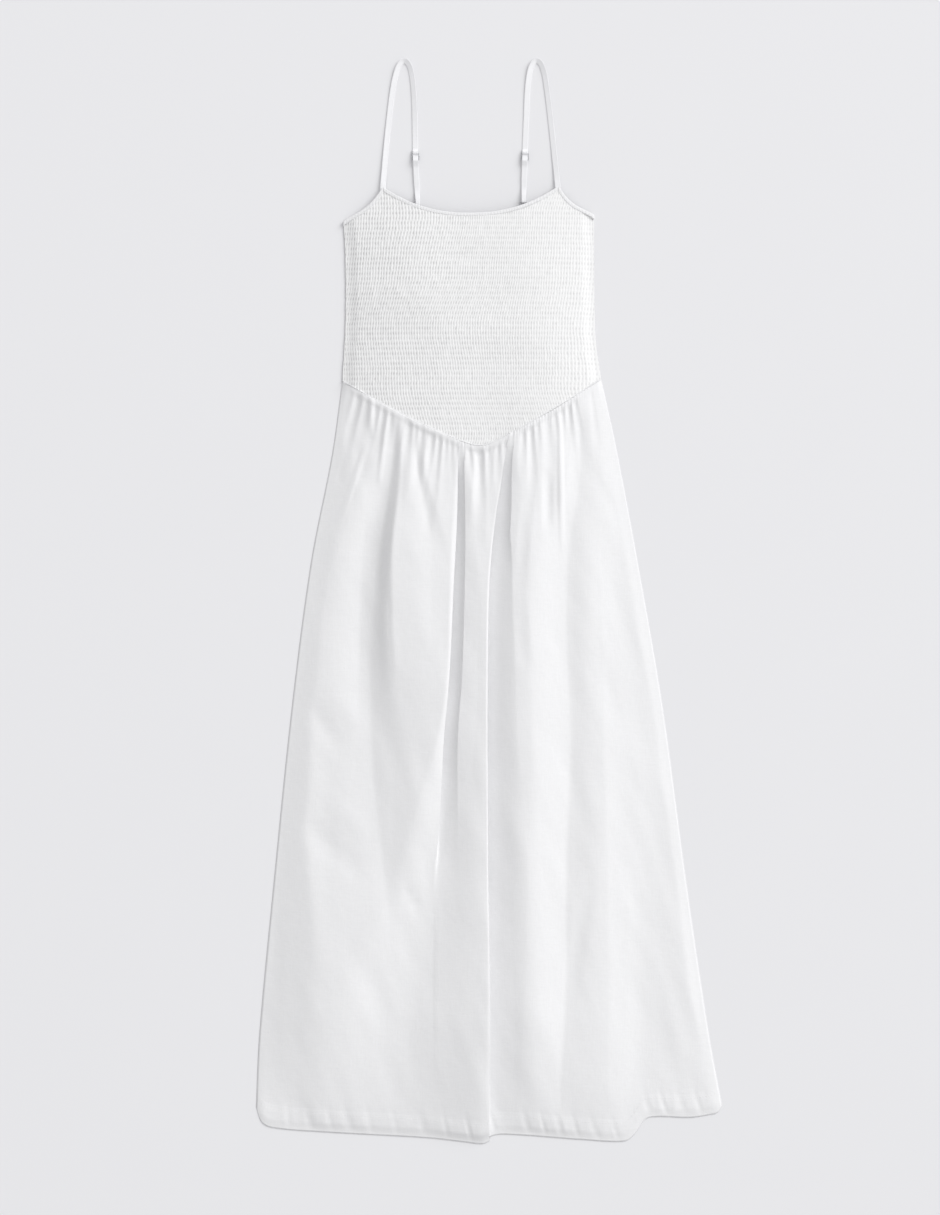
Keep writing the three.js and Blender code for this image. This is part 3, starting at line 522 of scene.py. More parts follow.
def skirt_top_z(u, v):
    """The height of the skirt front's cloth, with its folds, gathers, creases and hem."""
    wide = skirt_wide(v)
    seam, hem = skirt_ends(u)
    x, y = skirt_xy(u, v)
    from_seam, from_hem = seam - y, y - hem
    side = {column: read(SIDES, column, v) for column in SIDES if column != "v"}
    left = side_rise(u * wide, side["band_l"], side["share_l"], 0, side["reach_l"])
    right = side_rise((1 - u) * wide, side["band_r"], side["share_r"], side["flat_r"], side["reach_r"])
    # Towards the hem the cloth sinks to the floor
    sink = 1 - 0.96 * (1 - np.clip(from_hem / HEM_FALL, 0, 1)) ** 1.5
    stand, folds = skirt_body(u, v, wide)
    # The folds are nearly as deep in the low part on the left as further in
    height = (stand * left + folds * np.minimum(1, 2.2 * left)) * right * sink
    # Sewn level with the bodice at the seam, the cloth comes to its own level below it
    seam_level = bodice_floor(mix(WAIST_L[0], WAIST_R[0], u), seam) - FRONT_FLOOR + SEAM_RISE
    height = mix(seam_level, height, eased(from_seam, SEAM_FALL))
    edge_in = np.minimum(u, 1 - u) * wide
    drawn = gathered(u, v, wide) * slope_up(edge_in, 30)
    height = height - drawn * eased(from_seam, 12)
    height = height + creased(x, y) * np.minimum(1, height / 5)
    height = height + 0.7 * wander(x / 38, y / 105, 5) + 0.5 * wander((x + 0.3 * y) / 17, y / 52, 6)
    # Fine gathering stitches draw the cloth into ripples just below the seam, where it swells a little
    ripple = np.cos(2 * np.pi * (x / 3.4 + 0.5 * wander(x / 9, y / 30, 7)))
    height = height + 0.5 * ripple * np.exp(-from_seam / 7)
    puff = 0.5 + 0.5 * wander(x / 7, x * 0, 9)
    z = FRONT_REST + settle(height) + 0.9 * puff * hump(from_seam - 4.5, 4)
    # Where it stands off the back, it keeps the solid's own level
    z = z + (FRONT_FLOOR + CLOTH - FRONT_REST) * eased(height, 6)
    z = z + hemmed(x, y, u, wide, from_hem)
    # The hem and the side seams come down to the floor around the back
    z = mix(2.2 * COTTON, z, eased(from_hem + 1.5, 14))
    # The bodice's side seam holds the cloth up beside the waist seam
    held = 2.4 * np.exp(-from_seam / 16) * np.minimum(1, edge_in / 5)
    edge = COTTON + 0.08 + EDGE_LEAN * edge_in + held
    return np.maximum(COTTON + 0.02, 0.5 * (z + edge - np.hypot(z - edge, 0.8)))


def skirt_back_xy(u, v):
    """The back ends a little inside the front's sides and hem."""
    wide = skirt_wide(v)
    return skirt_xy(mix(BACK_INSET / wide, 1 - BACK_INSET / wide, u), v, BACK_INSET + 1)


def skirt_back_z(u, v):
    """The back lies on the floor, with low creases."""
    wide = skirt_wide(v)
    x, y = skirt_back_xy(u, v)
    level = BACK_Z + 0.22 * wander(x / 30, y / 90, 11) + 0.16 * wander(x / 12, y / 60, 12)
    edge_in = np.minimum(np.minimum(u, 1 - u) * wide, (1 - v) * SKIRT_LONG)
    return mix(COTTON + 0.03, level, eased(edge_in, 30))


FRONT_SEED, BACK_SEED = 21, 41
TIGHT_X, LOOSE_X = -150, 80  # the elastic draws up most as far as the one, and least from the other on
SWAY, SLIP = 4.2, 0.16  # how far the pleats wander as a whole, and in one row alone, counted in pleats


def shirring(x, y, seed):
    """(height from 0 to 1, how far into a pit from 0 to 1) of cloth drawn up by rows of elastic thread, most
    tightly on the left."""
    row = (CORNER_R[1] - y) / SHIRR_ROW
    line = np.floor(row)
    arch = np.sin(np.pi * (row - line)) ** 1.7
    sway = SWAY * wander(x / 110 + 0.4, y / 66, seed) - 0.012 * y + 0.15 * wander(x / 5, row, seed + 1)
    slip = SLIP * wander(line * 0.83 + 0.3, x / 22, seed + 2)
    across = 0.5 + 0.5 * np.cos(2 * np.pi * (x / PLEAT + sway + slip))
    vary = 1 + 0.2 * wander(x / PLEAT, line * 1.7, seed + 3)
    crest = across * (0.72 + 0.28 * arch)
    hollow = (1 - across) * 0.66 * (1 - arch)
    # How far into a pit: used only for the painted shade in the pits' colour, not for the height
    pit = (1 - across) ** 2.2 * arch * np.clip(1 + 0.7 * wander(x / 4, row * 1.3, seed + 4), 0, 1.5)
    tight = mix(1, 0.55, np.clip((x - TIGHT_X) / (LOOSE_X - TIGHT_X), 0, 1))
    return (crest + hollow) * np.clip(vary, 0.6, 1.25) * mix(1, tight, 0.6), pit * tight


def bodice_top_z(x, y):
    """The height of the bodice front's cloth, which comes down to the back's at its sides."""
    high, _ = shirring(x, y, FRONT_SEED)
    soft = 0.5 * wander(x / 45, y / 40, 31)
    from_left = x - read(BODICE, "left", y)
    from_right = read(BODICE, "right", y) - x
    edge_in = np.minimum(from_left, from_right)
    z = bodice_floor(x, y) + 0.9 + soft + PLEAT_DEEP * high
    return mix(BACK_Z + 0.3 + 0.5 * high, z, eased(edge_in + 2, 18))


# Making pieces

def linear(colour):
    """A colour read off a screen, such as "#f4f4f6", as the linear values that a shader takes."""
    parts = [int(colour[i : i + 2], 16) / 255 for i in (1, 3, 5)]
    return [c / 12.92 if c <= 0.04045 else ((c + 0.055) / 1.055) ** 2.4 for c in parts] + [1]


def finished(mesh, name, material, nodes, smooth=True):
    """A mesh as a piece of the dress: it rides on the CAD body and stands for the CAD nodes named."""
    mesh.materials.append(material)
    mesh.polygons.foreach_set("use_smooth", [smooth] * len(mesh.polygons))
    piece = bpy.data.objects.new(name, mesh)
    bpy.context.scene.collection.objects.link(piece)
    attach(piece, "root")
    if nodes:
        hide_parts(*nodes)
    return piece


def grid_mesh(name, across, along, place, tube=False):
    """A grid of quads whose points place(u, v) puts where they belong: u across, v from the neck down.
    A tube's first and last columns meet, and its ends are filled."""
    bm = bmesh.new()
    bmesh.ops.create_grid(bm, x_segments=across, y_segments=along, size=0.5)
    co = np.array([v.co for v in bm.verts])
    x, y, z = place(co[:, 0] + 0.5, 0.5 - co[:, 1])
    for vert, point in zip(bm.verts, np.stack([x, y, z], 1) * MM):
        vert.co = point
    bmesh.ops.remove_doubles(bm, verts=bm.verts, dist=1e-6)
    bmesh.ops.dissolve_degenerate(bm, edges=bm.edges, dist=1e-7)
    if tube:
        bmesh.ops.holes_fill(bm, edges=bm.edges)
        bmesh.ops.recalc_face_normals(bm, faces=bm.faces)
    mesh = bpy.data.meshes.new(name)
    bm.to_mesh(mesh)
    bm.free()
    return mesh


def gridded(name, across, along, place, material, nodes=(), tube=False):
    """A grid of quads as a piece of the dress."""
    return finished(grid_mesh(name, across, along, place, tube), name, material, nodes)


def thicken(panel):
    """Gives a panel the cotton's thickness, below its outer side."""
    solid = panel.modifiers.new("cloth thickness", "SOLIDIFY")
    solid.thickness = COTTON * MM
    solid.offset = -1
    return solid


BOX_SIGNS = np.array([(a, b, c) for a in (-1, 1) for b in (-1, 1) for c in (-1, 1)])
BOX_FACES = np.array([(0, 1, 3, 2), (4, 6, 7, 5), (0, 4, 5, 1), (2, 3, 7, 6), (0, 2, 6, 4), (1, 5, 7, 3)])


def dashes(name, places):
    """Many short stitches as one mesh. Each place is (middle, half-vector along, half-width, half-height)."""
    middle, along, half_wide, half_high = (np.array(column, float) for column in zip(*places))
    side = np.stack([-along[:, 1], along[:, 0], 0 * half_wide], 1)
    side *= (half_wide / np.linalg.norm(side, axis=1))[:, None]
    up = np.stack([0 * half_high, 0 * half_high, half_high], 1)
    taper = 1 - 0.35 * (BOX_SIGNS[:, 2:] > 0)
    points = middle[:, None] + along[:, None] * (BOX_SIGNS[:, :1] * taper)
    points = points + side[:, None] * (BOX_SIGNS[:, 1:2] * taper) + up[:, None] * BOX_SIGNS[:, 2:]
    faces = np.arange(len(middle))[:, None, None] * 8 + BOX_FACES
    mesh = bpy.data.meshes.new(name)
    mesh.from_pydata((points.reshape(-1, 3) * MM).tolist(), [], faces.reshape(-1, 4).tolist())
    return finished(mesh, name, thread, [], smooth=False)


def rounded(wide, thick, angle, squareness=0.45):
    """A point on a flat strip's section, which is squarer than an ellipse."""
    c, s = np.cos(angle), np.sin(angle)
    return wide / 2 * np.sign(c) * np.abs(c) ** squareness, thick / 2 * np.sign(s) * np.abs(s) ** squareness


# Materials

def node(tree, kind, links=(), **settings):
    """Adds a node with its settings. Links are (input name or index, the output socket that feeds it)."""
    made = tree.nodes.new(kind)
    for key, value in settings.items():
        if hasattr(made, key):
            setattr(made, key, value)
        else:
            made.inputs[key.replace("_", " ")].default_value = value
    for target, source in links:
        tree.links.new(source, made.inputs[target])
    return made


def blank(name):
    material = bpy.data.materials.new(name)
    material.use_nodes = True
    tree = material.node_tree
    tree.nodes.clear()
    return material, tree


def surface(material, links, **settings):
    """Ends a material's tree with its shader."""
    tree = material.node_tree
    shader = node(tree, "ShaderNodeBsdfPrincipled", links, **settings)
    node(tree, "ShaderNodeOutputMaterial", [("Surface", shader.outputs[0])])
    return material


def ranged(tree, source, low, high, **settings):
    """A value, from 0 to 1 unless the settings say otherwise, brought between low and high."""
    span = dict(To_Min=low, To_Max=high, **settings)
    return node(tree, "ShaderNodeMapRange", [("Value", source)], **span).outputs[0]


def bands(pitch):
    """The wave texture's scale that repeats its bands once in a pitch in millimetres."""
    return 2 * math.pi / (20 * pitch * MM)


def cotton(name, colour, thread, crinkle, painted_pit_shade=False):
    """Plain-woven cotton. The warp and weft give the close a faint grid, the slubs their uneven streaks, and
    the washed surface a low crinkle. Sheen is the light caught by the loose fibres. Where asked, the colour
    is also darkened in the shirring's pits: painted shade."""
    material, tree = blank(name)
    place = node(tree, "ShaderNodeTexCoord").outputs["Object"]
    wave = dict(wave_type="BANDS", wave_profile="SIN", Scale=bands(thread), Distortion=0.6, Detail=1.0)
    warp = node(tree, "ShaderNodeTexWave", [("Vector", place)], bands_direction="X", **wave)
    weft = node(tree, "ShaderNodeTexWave", [("Vector", place)], bands_direction="Y", **wave)
    crossed = [(0, warp.outputs["Fac"]), (1, weft.outputs["Fac"])]
    weave = node(tree, "ShaderNodeMath", crossed, operation="MULTIPLY")
    upright = node(tree, "ShaderNodeMapping", [("Vector", place)], Scale=(1100, 70, 300))
    slub = node(tree, "ShaderNodeTexNoise", [("Vector", upright.outputs[0])], Scale=1.0, Detail=2.0)
    level = node(tree, "ShaderNodeMapping", [("Vector", place)], Scale=(70, 800, 300))
    pick = node(tree, "ShaderNodeTexNoise", [("Vector", level.outputs[0])], Scale=1.0, Detail=2.0)
    crush = node(tree, "ShaderNodeTexNoise", [("Vector", place)], Scale=95.0, Detail=4.0, Roughness=0.55)
    both = [(0, slub.outputs["Fac"]), (1, pick.outputs["Fac"])]
    streaks = node(tree, "ShaderNodeMath", both, operation="ADD")
    tone = ranged(tree, streaks.outputs[0], 0.968, 1.0, From_Min=0.7, From_Max=1.3)
    darker = dict(data_type="RGBA", blend_type="MULTIPLY", Factor=1.0)
    base = node(tree, "ShaderNodeMix", [(7, tone)], **darker)
    base.inputs[6].default_value = linear(colour)
    colour_out = base.outputs[2]
    # Painted shade: deep in the shirring's pits the colour darkens to 0.71 of itself, standing in for the
    # shade that falls there
    if painted_pit_shade:
        pit = node(tree, "ShaderNodeAttribute", attribute_name="pit")
        shade = ranged(tree, pit.outputs["Fac"], 1.0, 0.71)
        colour_out = node(tree, "ShaderNodeMix", [(6, colour_out), (7, shade)], **darker).outputs[2]
    fine = node(tree, "ShaderNodeBump", [("Height", weave.outputs[0])], Strength=0.35, Distance=0.00008)
    uneven = node(
        tree, "ShaderNodeBump", [("Height", streaks.outputs[0]), ("Normal", fine.outputs[0])],
        Strength=0.45, Distance=0.0001,
    )
    soft = node(
        tree, "ShaderNodeBump", [("Height", crush.outputs["Fac"]), ("Normal", uneven.outputs[0])],
        Strength=1.0, Distance=crinkle * MM,
    )
    rough = ranged(tree, slub.outputs["Fac"], 0.78, 0.95)
    return surface(
        material, [("Base Color", colour_out), ("Normal", soft.outputs[0]), ("Roughness", rough)],
        Sheen_Weight=0.12, Sheen_Roughness=0.5, Specular_IOR_Level=0.25,
    )


def plated(name):
    """Cast zinc, tumbled and nickel plated: bright, with faint random scuffs that soften its highlights."""
    material, tree = blank(name)
    place = node(tree, "ShaderNodeTexCoord").outputs["Object"]
    scuff = node(tree, "ShaderNodeTexNoise", [("Vector", place)], Scale=900.0, Detail=3.0)
    rough = ranged(tree, scuff.outputs["Fac"], 0.16, 0.38)
    bump = node(tree, "ShaderNodeBump", [("Height", scuff.outputs["Fac"])], Strength=0.3, Distance=0.00003)
    links = [("Roughness", rough), ("Normal", bump.outputs[0])]
    return surface(material, links, Base_Color=linear("#b4b5b8"), Metallic=1.0)


def paper(name):
    """The pale seamless ground: smooth, matt, with the slight mottle of its coating."""
    material, tree = blank(name)
    place = node(tree, "ShaderNodeTexCoord").outputs["Object"]
    mottle = node(tree, "ShaderNodeTexNoise", [("Vector", place)], Scale=7.0, Detail=3.0)
    tone = node(tree, "ShaderNodeMix", [("Factor", mottle.outputs["Fac"])], data_type="RGBA")
    tone.inputs[6].default_value = linear("#e5e5e7")
    tone.inputs[7].default_value = linear("#e6e6e8")
    return surface(material, [("Base Color", tone.outputs[2])], Roughness=0.9)


skirt_cotton = cotton("plain woven cotton, washed and pressed", "#eaeaeb", thread=0.55, crinkle=0.3)
# The shirred cotton's colour is darkened in the pits between the pleats: painted shade
shirred_cotton = cotton(
    "plain woven cotton, shirred with elastic", "#efefef", thread=0.55, crinkle=0.1, painted_pit_shade=True
)
strap_cotton = cotton(
    "cotton turned into a narrow strip and topstitched", "#eeeef0", thread=0.5, crinkle=0.12
)
thread = cotton("spun cotton sewing thread", "#e2e2e2", thread=0.3, crinkle=0.05)
metal = plated("cast zinc, tumbled and nickel plated")


# The view: straight down, on a pale ground, with a broad light from the upper right

FRAME_HIGH = 1458
FRAME_MIDDLE = (-22.8, -6.6)
LENS, SENSOR = 85, 36

camera = bpy.data.objects.new("camera", bpy.data.cameras.new("camera"))
bpy.context.scene.collection.objects.link(camera)
bpy.context.scene.camera = camera
camera.data.lens = LENS
camera.data.sensor_width = SENSOR
camera.data.clip_end = 30
camera.location = (FRAME_MIDDLE[0] * MM, FRAME_MIDDLE[1] * MM, FRAME_HIGH * MM * LENS / SENSOR)

bm = bmesh.new()
bmesh.ops.create_grid(bm, x_segments=2, y_segments=2, size=9)
floor_mesh = bpy.data.meshes.new("floor")
bm.to_mesh(floor_mesh)
bm.free()
floor_mesh.materials.append(paper("matt coated background paper"))
floor = bpy.data.objects.new("floor", floor_mesh)
bpy.context.scene.collection.objects.link(floor)


def area_light(name, place, size, watts):
    """A square light at a place in metres, turned towards the dress."""
    lamp = bpy.data.lights.new(name, "AREA")
    lamp.shape = "SQUARE"
    lamp.size = size
    lamp.energy = watts
    light = bpy.data.objects.new(name, lamp)
    bpy.context.scene.collection.objects.link(light)
    light.location = place
    light.rotation_euler = (-Vector(place)).to_track_quat("-Z", "Y").to_euler()


area_light("window", (17.2, 14.4, 14.0), 19.2, 5660)
area_light("ceiling", (-1.2, -0.6, 5.5), 4.5, 19)

world = bpy.data.worlds.new("studio")
bpy.context.scene.world = world
world.use_nodes = True
world.node_tree.nodes["Background"].inputs["Color"].default_value = linear("#fafafb")
world.node_tree.nodes["Background"].inputs["Strength"].default_value = 0.635
bpy.context.scene.view_settings.view_transform = "Standard"


# The skirt

# Rows lie closer at the waist and the hem. Columns run along the folds that roll over: so many up to the
# crest, down to the lowest line, up the other side and on to the next
ROWS = table("s v", (0, 0), (0.2, 0.06), (0.34, 0.14), (0.55, 0.36), (0.88, 0.962), (1, 1))
FOLD_COLUMNS = (95, 4, 18, 38, 4, 45, 106)


def along_folds(u, v):
    """Where the grid's columns run, for places across it from 0 to 1."""
    wide = skirt_wide(v)
    ends = [0 * v]
    for rows in DEEP_FOLDS:
        line = read(rows, "u", v)
        ends += [line - read(rows, "left", v) / wide, line, line + read(rows, "right", v) / wide]
    ends.append(0 * v + 1)
    at, passed = 0 * u, 0
    for near, far, columns in zip(ends, ends[1:], FOLD_COLUMNS):
        at = at + (far - near) * np.clip((u * sum(FOLD_COLUMNS) - passed) / columns, 0, 1)
        passed += columns
    return at


def skirt_front_at(u, s):
    v = np.interp(s, ROWS["s"], ROWS["v"])
    u = along_folds(u, v)
    x, y = skirt_front_xy(u, v)
    return x, y, skirt_top_z(u, v)


def skirt_back_at(u, s):
    x, y = skirt_back_xy(u, s)
    return x, y, skirt_back_z(u, s)


skirt_front = gridded(
    "skirt_front_cloth", sum(FOLD_COLUMNS), 155, skirt_front_at, skirt_cotton, ["skirt_front"]
)
# The rolled-over crests are edges, not soft bends
skirt_front.data.set_sharp_from_angle(angle=math.radians(55))
thicken(skirt_front)
skirt_back = gridded("skirt_back_cloth", 130, 110, skirt_back_at, skirt_cotton, ["skirt_back"])
thicken(skirt_back)

HEM_STITCHES = np.arange(0.012, 0.992, 0.0062)  # where they lie across the hem, from 0 to 1
STITCH_IN = 2.6  # from the turned-up layer's edge to its stitching


def hem_stitches():
    """A line of stitching that follows the hem over its folds."""
    places = []
    for u in HEM_STITCHES:
        seam, hem = skirt_ends(u)
        v = (seam - (hem + HEM_DEEP - STITCH_IN)) / (seam - hem)
        here, ahead = (np.array([*skirt_front_xy(p, v), skirt_top_z(p, v)]) for p in (u, u + 0.002))
        run = ahead - here
        places.append((here + (0, 0, 0.1), run / np.linalg.norm(run) * 1.15, 0.2, 0.16))
    return places


hem_thread = dashes("hem_stitches", hem_stitches())


# The bodice

BODICE_STEP = SHIRR_ROW / 4
BODICE_ROWS = math.ceil((CORNER_R[1] - WAIST_TIP[1] + 1) / BODICE_STEP)


def bodice_front_at(u, s):
    top, foot = bodice_ends(u, front_top_y, BINDING_WIDE * 0.5)
    y = np.clip(CORNER_R[1] - np.round(s * BODICE_ROWS) * BODICE_STEP, foot - 0.6, top)
    x = bodice_x(u, y)
    return x, y, bodice_top_z(x, y)


def mark_pit_shade(mesh, seed):
    """Keeps how far into a pit each point lies, which the material darkens as painted shade."""
    co = np.array([v.co for v in mesh.vertices]) / MM
    _, pit = shirring(co[:, 0], co[:, 1], seed)
    mesh.attributes.new("pit", "FLOAT", "POINT").data.foreach_set("value", pit.astype(np.float32))


bodice_front = gridded(
    "bodice_front_cloth", 420, BODICE_ROWS, bodice_front_at,
    shirred_cotton, ["bodice_front"],
)
mark_pit_shade(bodice_front.data, FRONT_SEED)
# The pleats' lower side isn't seen, so only the rim gets the thickness
thicken(bodice_front).use_rim_only = True


def bodice_back_at(u, s):
    top, foot = bodice_ends(u, back_top_y, BINDING_WIDE * 0.5)
    y = mix(top, foot - 0.5, s)
    x = bodice_x(u, y)
    high, _ = shirring(x, y, BACK_SEED)
    return x, y, 0.6 + 0.8 * high


bodice_back = gridded(
    "bodice_back_cloth", 190, 120, bodice_back_at, shirred_cotton, ["bodice_back"]
)
mark_pit_shade(bodice_back.data, BACK_SEED)
thicken(bodice_back)


# Bindings, each a strip folded over a raw edge

def on_floor(x, y):
    return 0.05 + x * 0


def binding_at(edge, from_x, to_x, seed, thick, underside):
    def at(u, s):
        angle = -2 * np.pi * u
        a, b = rounded(BINDING_WIDE, thick, angle)
        x = mix(from_x, to_x, 1 - s)
        stretch = across_edge(edge, np.clip(x, from_x + 0.5, to_x - 0.5))
        middle = edge(x) - BINDING_WIDE / 2 * stretch
        pucker = 0.2 * np.sin(2 * np.pi * (x / 3.4 + 0.4 * wander(x / 11, x * 0, seed)))
        pucker = pucker + 0.12 * wander(x / 7, a / 3, seed + 1)
        y = middle + a * stretch * (1 + 0.05 * wander(x / 5, x * 0 + 3, seed))
        z = underside(x, middle) + thick / 2 + b + pucker * np.clip(np.sin(angle), 0, 1)
        return x, y, z
    return at


def binding(name, edge, from_x, to_x, seed, thick=BINDING_THICK, underside=bodice_floor):
    """A binding in steps of a millimetre, in the place of the solid of its name."""
    place = binding_at(edge, from_x, to_x, seed, thick, underside)
    steps = int(to_x - from_x)
    return gridded(f"{name}_cloth", 20, steps, place, skirt_cotton, [name], tube=True)


half_gap = SEAM_GAP / 2
neck_binding = binding("neckline_binding", front_top_y, CORNER_L[0] + half_gap, CORNER_R[0] - half_gap, 51)
arm_left = binding("armhole_binding_left", front_top_y, UNDERARM_L[0], CORNER_L[0] - half_gap, 53)
arm_right = binding("armhole_binding_right", front_top_y, CORNER_R[0] + half_gap, UNDERARM_R[0], 55)
back_edge = binding("back_binding", back_top_y, UNDERARM_L[0], UNDERARM_R[0], 57, CLOTH - 0.2, on_floor)


def edge_stitches(edge, from_x, to_x):
    """A line of stitching along the binding's lower side."""
    places = []
    for x in np.arange(from_x + 2, to_x - 1, EDGE_STITCH):
        y, y_ahead = (float(edge(p) - (BINDING_WIDE - 1) * across_edge(edge, p)) for p in (x, x + 1))
        z = float(bodice_floor(x, y)) + BINDING_THICK + 0.08
        run = np.array([1, y_ahead - y, 0])
        places.append(((x, y, z), run / np.linalg.norm(run), 0.18, 0.14))
    return places


edge_thread = dashes(
    "binding_stitches",
    edge_stitches(front_top_y, CORNER_L[0], CORNER_R[0])
    + edge_stitches(front_top_y, UNDERARM_L[0], CORNER_L[0])
    + edge_stitches(front_top_y, CORNER_R[0], UNDERARM_R[0]),
)


# Straps, rings and sliders

def around(x, y, z, radius, out, start, end, side, count=12):
    """Stations around a bar that lies along X."""
    turns = np.radians(np.linspace(start, end, count + 1))
    return [((x, y + out * radius * math.cos(t), z + radius * math.sin(t)), side, 0) for t in turns]


def ribbon_mesh(name, stations, ring):
    """A flat strip through stations, each (middle, side direction, lean in degrees). Gives its mesh, its
    middles, the directions across it and through it, and its widths."""
    middles = np.array([s[0] for s in stations], float)
    sides = np.array([s[1] for s in stations], float)
    leans = np.radians([s[2] for s in stations])
    ahead = np.gradient(middles, axis=0)
    ahead /= np.linalg.norm(ahead, axis=1, keepdims=True)
    sides -= ahead * np.sum(sides * ahead, axis=1, keepdims=True)
    sides /= np.linalg.norm(sides, axis=1, keepdims=True)
    up = np.cross(ahead, sides)
    flat_way = sides * np.cos(leans)[:, None] + up * np.sin(leans)[:, None]
    thick_way = np.cross(ahead, flat_way)
    away = np.hypot(middles[:, 0] - ring[0], middles[:, 1] - ring[1]) - RING_HOLE
    wide = mix(BUNCHED, STRAP_WIDE, np.clip(away / 22, 0, 1))
    last = len(stations) - 1

    def at(u, s):
        i = np.round(s * last).astype(int)
        a, b = rounded(1, STRAP_THICK * 0.98, 2 * np.pi * u)
        a = a * wide[i]
        # The turned tube is fuller along its two folded edges than in the middle
        b = b * (0.86 + 0.14 * np.clip(np.abs(2 * a / wide[i]) * 1.3, 0, 1))
        points = middles[i] + flat_way[i] * a[:, None] + thick_way[i] * b[:, None]
        return points.T

    return grid_mesh(name, 24, last, at, tube=True), middles, flat_way, thick_way, wide


def strap_stations(ring, slider, route):
    """A strap's way from the front corner over its top, through the ring and back up to the slider."""
    steps = (len(route["x"]) - 1) * 14
    rows = {"i": np.arange(len(route["x"]), dtype=float), **route}
    place = np.linspace(0, len(route["x"]) - 1, steps + 1)
    x, y, rest, lean = (read(rows, column, place) for column in ("x", "y", "rest", "lean"))
    turn = np.radians(np.abs(lean))
    z = np.maximum(0, rest) + (STRAP_WIDE * np.sin(turn) + STRAP_THICK * np.cos(turn)) / 2
    # The strap passes over the slider's two ends and under its middle bar
    end_bar = (SLIDER_LONG - SLIDER_BAR) / 2
    over_end = SLIDER_UP + SLIDER_BAR / 2 + STRAP_THICK / 2 + 0.1
    on_back = np.arange(steps + 1) > steps / 2
    lift = hump(np.abs(y - slider[1]) - end_bar, 4.2) * on_back
    z = mix(z, over_end, lift)
    down = np.stack([x, y, z], 1)
    ahead = np.gradient(down, axis=0)
    side = np.stack([-ahead[:, 1], ahead[:, 0], ahead[:, 0] * 0], 1)
    stations = [(tuple(p), tuple(s), a) for p, s, a in zip(down, side, lean)]
    across = (1, 0, 0)
    wire_y = ring[1] + RING_REACH
    run = slider[1] - wire_y
    end_over = 1 - end_bar / run
    stops = table(
        "part z",
        (0.04, RING_UP + RING_WRAP - 0.05), (0.13, RING_UP + RING_WRAP - 0.7), (0.3, OVER_STRAP + 0.1),
        (0.55, OVER_STRAP + 0.2), (0.78, OVER_STRAP + 0.5), (end_over - 0.04, over_end + 0.2),
        (end_over, over_end + STRAP_THICK + 0.15), (end_over + 0.04, over_end + 0.5),
        (0.985, SLIDER_UP + BAR_WRAP + 0.02),
    )
    parts = np.linspace(0.04, 0.985, 60)
    heights = read(stops, "z", parts)
    back_up = [((mix(ring[0], slider[0], p), wire_y + p * run, h), across, 0) for p, h in zip(parts, heights)]
    tail = [((slider[0], slider[1] - 0.8, SLIDER_UP - BAR_WRAP), across, 0)]
    return [
        *stations,
        *around(ring[0], wire_y, RING_UP, RING_WRAP, -1, -90, 90, across),
        *back_up,
        *around(slider[0], slider[1], SLIDER_UP, BAR_WRAP, 1, 90, -90, across),
        *tail,
    ]


def tab_stations(ring):
    """A tab's way from under the back's upper edge, round the ring's wire and down onto the back."""
    across = (-1, 0, 0)
    wire_y = ring[1] - RING_REACH
    edge_y = float(back_top_y(np.array(ring[0]))) + SEAM_GAP
    over = FRONT_FLOOR + STRAP_THICK / 2

    def station(y, z):
        return (ring[0], y, z), across, 0

    return [
        station(edge_y, STRAP_THICK / 2),
        *around(ring[0], wire_y, RING_UP, RING_WRAP, 1, -90, 90, across),
        station(wire_y - 1.5, RING_UP + RING_WRAP - 0.1),
        station(wire_y - 3, RING_UP + RING_WRAP - 0.5),
        station(edge_y - 2, over + 0.1),
        station(edge_y - 5, over),
        station(edge_y - 9, over),
    ]


def strap_stitches(middles, flat_way, thick_way, wide):
    """A line of stitching along each of a strap's edges."""
    places = []
    run = np.concatenate([[0], np.cumsum(np.linalg.norm(np.diff(middles, axis=0), axis=1))])
    for at in np.arange(3, run[-1] - 30, STRAP_STITCH):
        i = min(int(np.searchsorted(run, at)), len(run) - 2)
        ahead = middles[i + 1] - middles[i]
        # On the way down to the ring, stitches that would face the floor are left out
        if ahead[1] < -1e-6 and thick_way[i][2] < -0.5:
            continue
        for edge in (-1, 1):
            inset = flat_way[i] * edge * (wide[i] / 2 - 0.9)
            point = middles[i] + inset + thick_way[i] * (STRAP_THICK * 0.47)
            places.append((tuple(point), ahead / np.linalg.norm(ahead), 0.15, 0.1))
    return places


for side_name, strap in STRAPS.items():
    name, tab, ring = f"strap_{side_name}", f"ring_tab_{side_name}", strap["ring"]
    strap_mesh, *strap_lie = ribbon_mesh(f"{name}_cloth", strap_stations(**strap), ring)
    finished(strap_mesh, f"{name}_cloth", strap_cotton, [name])
    dashes(f"{name}_stitches", strap_stitches(*strap_lie))
    tab_mesh = ribbon_mesh(f"{tab}_cloth", tab_stations(ring), ring)[0]
    finished(tab_mesh, f"{tab}_cloth", strap_cotton, [tab])


def slider_frame_at(middle):
    """A rounded frame of round bar around a point."""
    def at(u, s):
        turn, section = 2 * np.pi * s, 2 * np.pi * u
        c, d = np.cos(turn), np.sin(turn)
        out = SLIDER_BAR / 2 * np.cos(section)
        x = np.sign(c) * np.abs(c) ** 0.4 * (SLIDER_WIDE - SLIDER_BAR) / 2 + out * c
        y = np.sign(d) * np.abs(d) ** 0.4 * (SLIDER_LONG - SLIDER_BAR) / 2 + out * d
        return middle[0] + x, middle[1] + y, SLIDER_UP - SLIDER_BAR / 2 * np.sin(section)
    return at


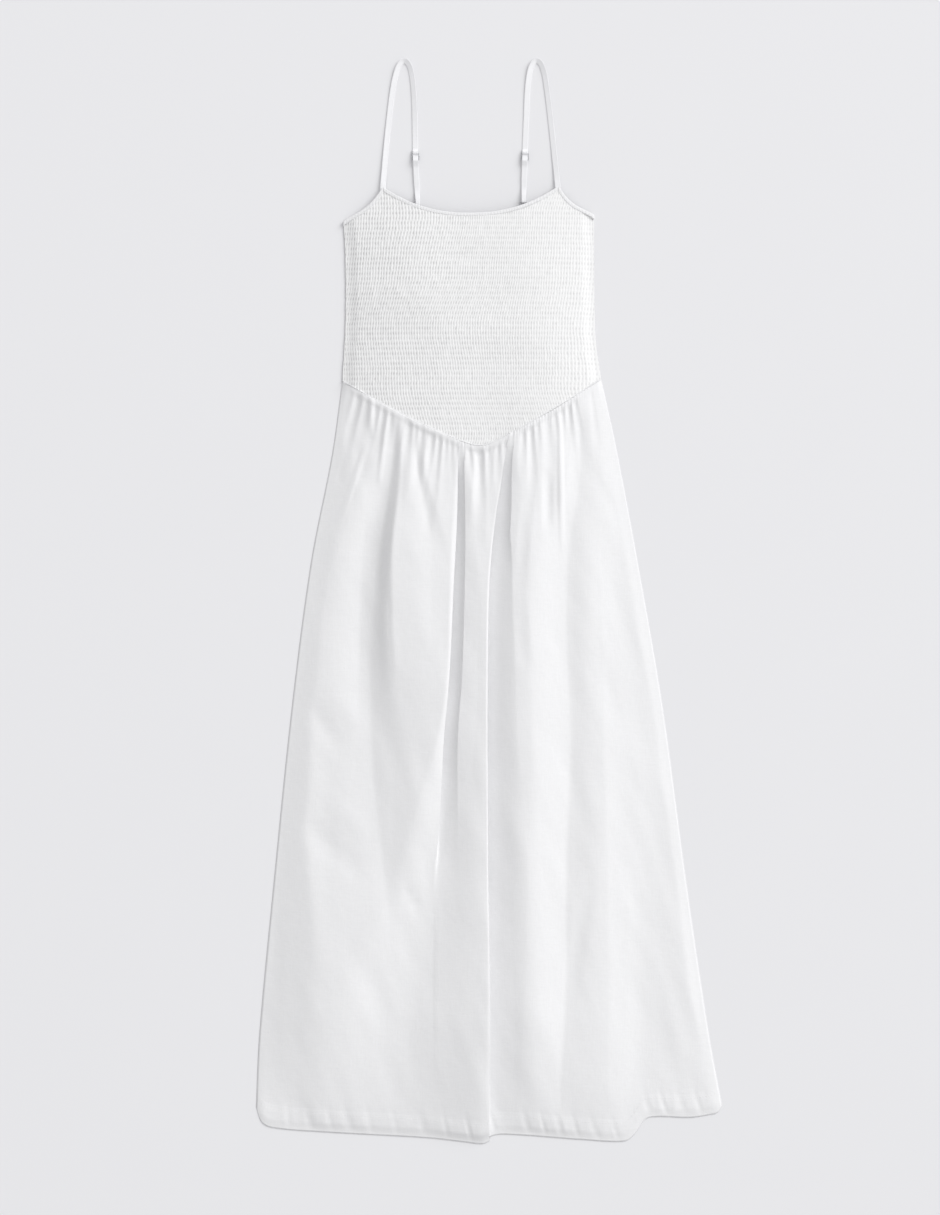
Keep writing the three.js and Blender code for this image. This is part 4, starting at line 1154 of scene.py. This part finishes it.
def slider_bar_at(middle):
    """The frame's middle bar, which the strap's end is sewn around."""
    def at(u, s):
        section = 2 * np.pi * u
        x = middle[0] + (s - 0.5) * (SLIDER_WIDE - SLIDER_BAR)
        half = SLIDER_BAR / 2
        return x, middle[1] + half * np.cos(section), SLIDER_UP + half * np.sin(section)
    return at


for side_name, strap in STRAPS.items():
    name, middle = f"slider_{side_name}", strap["slider"]
    gridded(f"{name}_frame", 12, 80, slider_frame_at(middle), metal, [name], tube=True)
    gridded(f"{name}_bar", 12, 2, slider_bar_at(middle), metal, tube=True)
    ring_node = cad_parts[f"ring_{side_name}"]
    ring_node.data.materials.clear()
    ring_node.data.materials.append(metal)
    rounder = ring_node.modifiers.new("rounder wire", "SUBSURF")
    rounder.levels = rounder.render_levels = 1


# Threads of the shirring, and the waist seam

def shirring_threads():
    """One short thread in each pleat of each row, clear of the binding and the waist seam."""
    places = []
    count = int((CORNER_R[1] - WAIST_TIP[1]) / SHIRR_ROW)
    for k in range(1, count + 1):
        y = CORNER_R[1] - k * SHIRR_ROW
        x = np.arange(read(BODICE, "left", y) + 2, read(BODICE, "right", y) - 2, PLEAT)
        keep = (y < front_top_y(x) - (BINDING_WIDE + 1) * across_edge(front_top_y, x)) & (y > waist_y(x) + 2)
        x = x[keep]
        if len(x) == 0:
            continue
        z = bodice_top_z(x, np.full_like(x, y))
        rise = bodice_top_z(x + 1, np.full_like(x, y)) - z
        places += [((a, y, b - 0.05), (0.85, 0, c * 0.85), 0.13, 0.1) for a, b, c in zip(x, z, rise)]
    return places


shirr_thread = dashes("shirring_threads", shirring_threads())


def waist_seam_at(u, s):
    """The seam allowance under the bodice's lower edge shows as a fine raised cord."""
    x = mix(WAIST_L[0] + 0.6, WAIST_R[0] - 0.6, 1 - s)
    y = waist_y(x) + 0.5
    angle = -2 * np.pi * u
    z = bodice_floor(x, y) + CLOTH + 0.55
    ripple = 0.2 * np.sin(2 * np.pi * x / 3.3 + 2 * wander(x / 13, x * 0, 61))
    return x, y + 0.7 * np.cos(angle) + ripple, z + 0.5 * np.sin(angle) + 0.5 * ripple


waist_cord = gridded("waist_seam", 10, 320, waist_seam_at, skirt_cotton, tube=True)
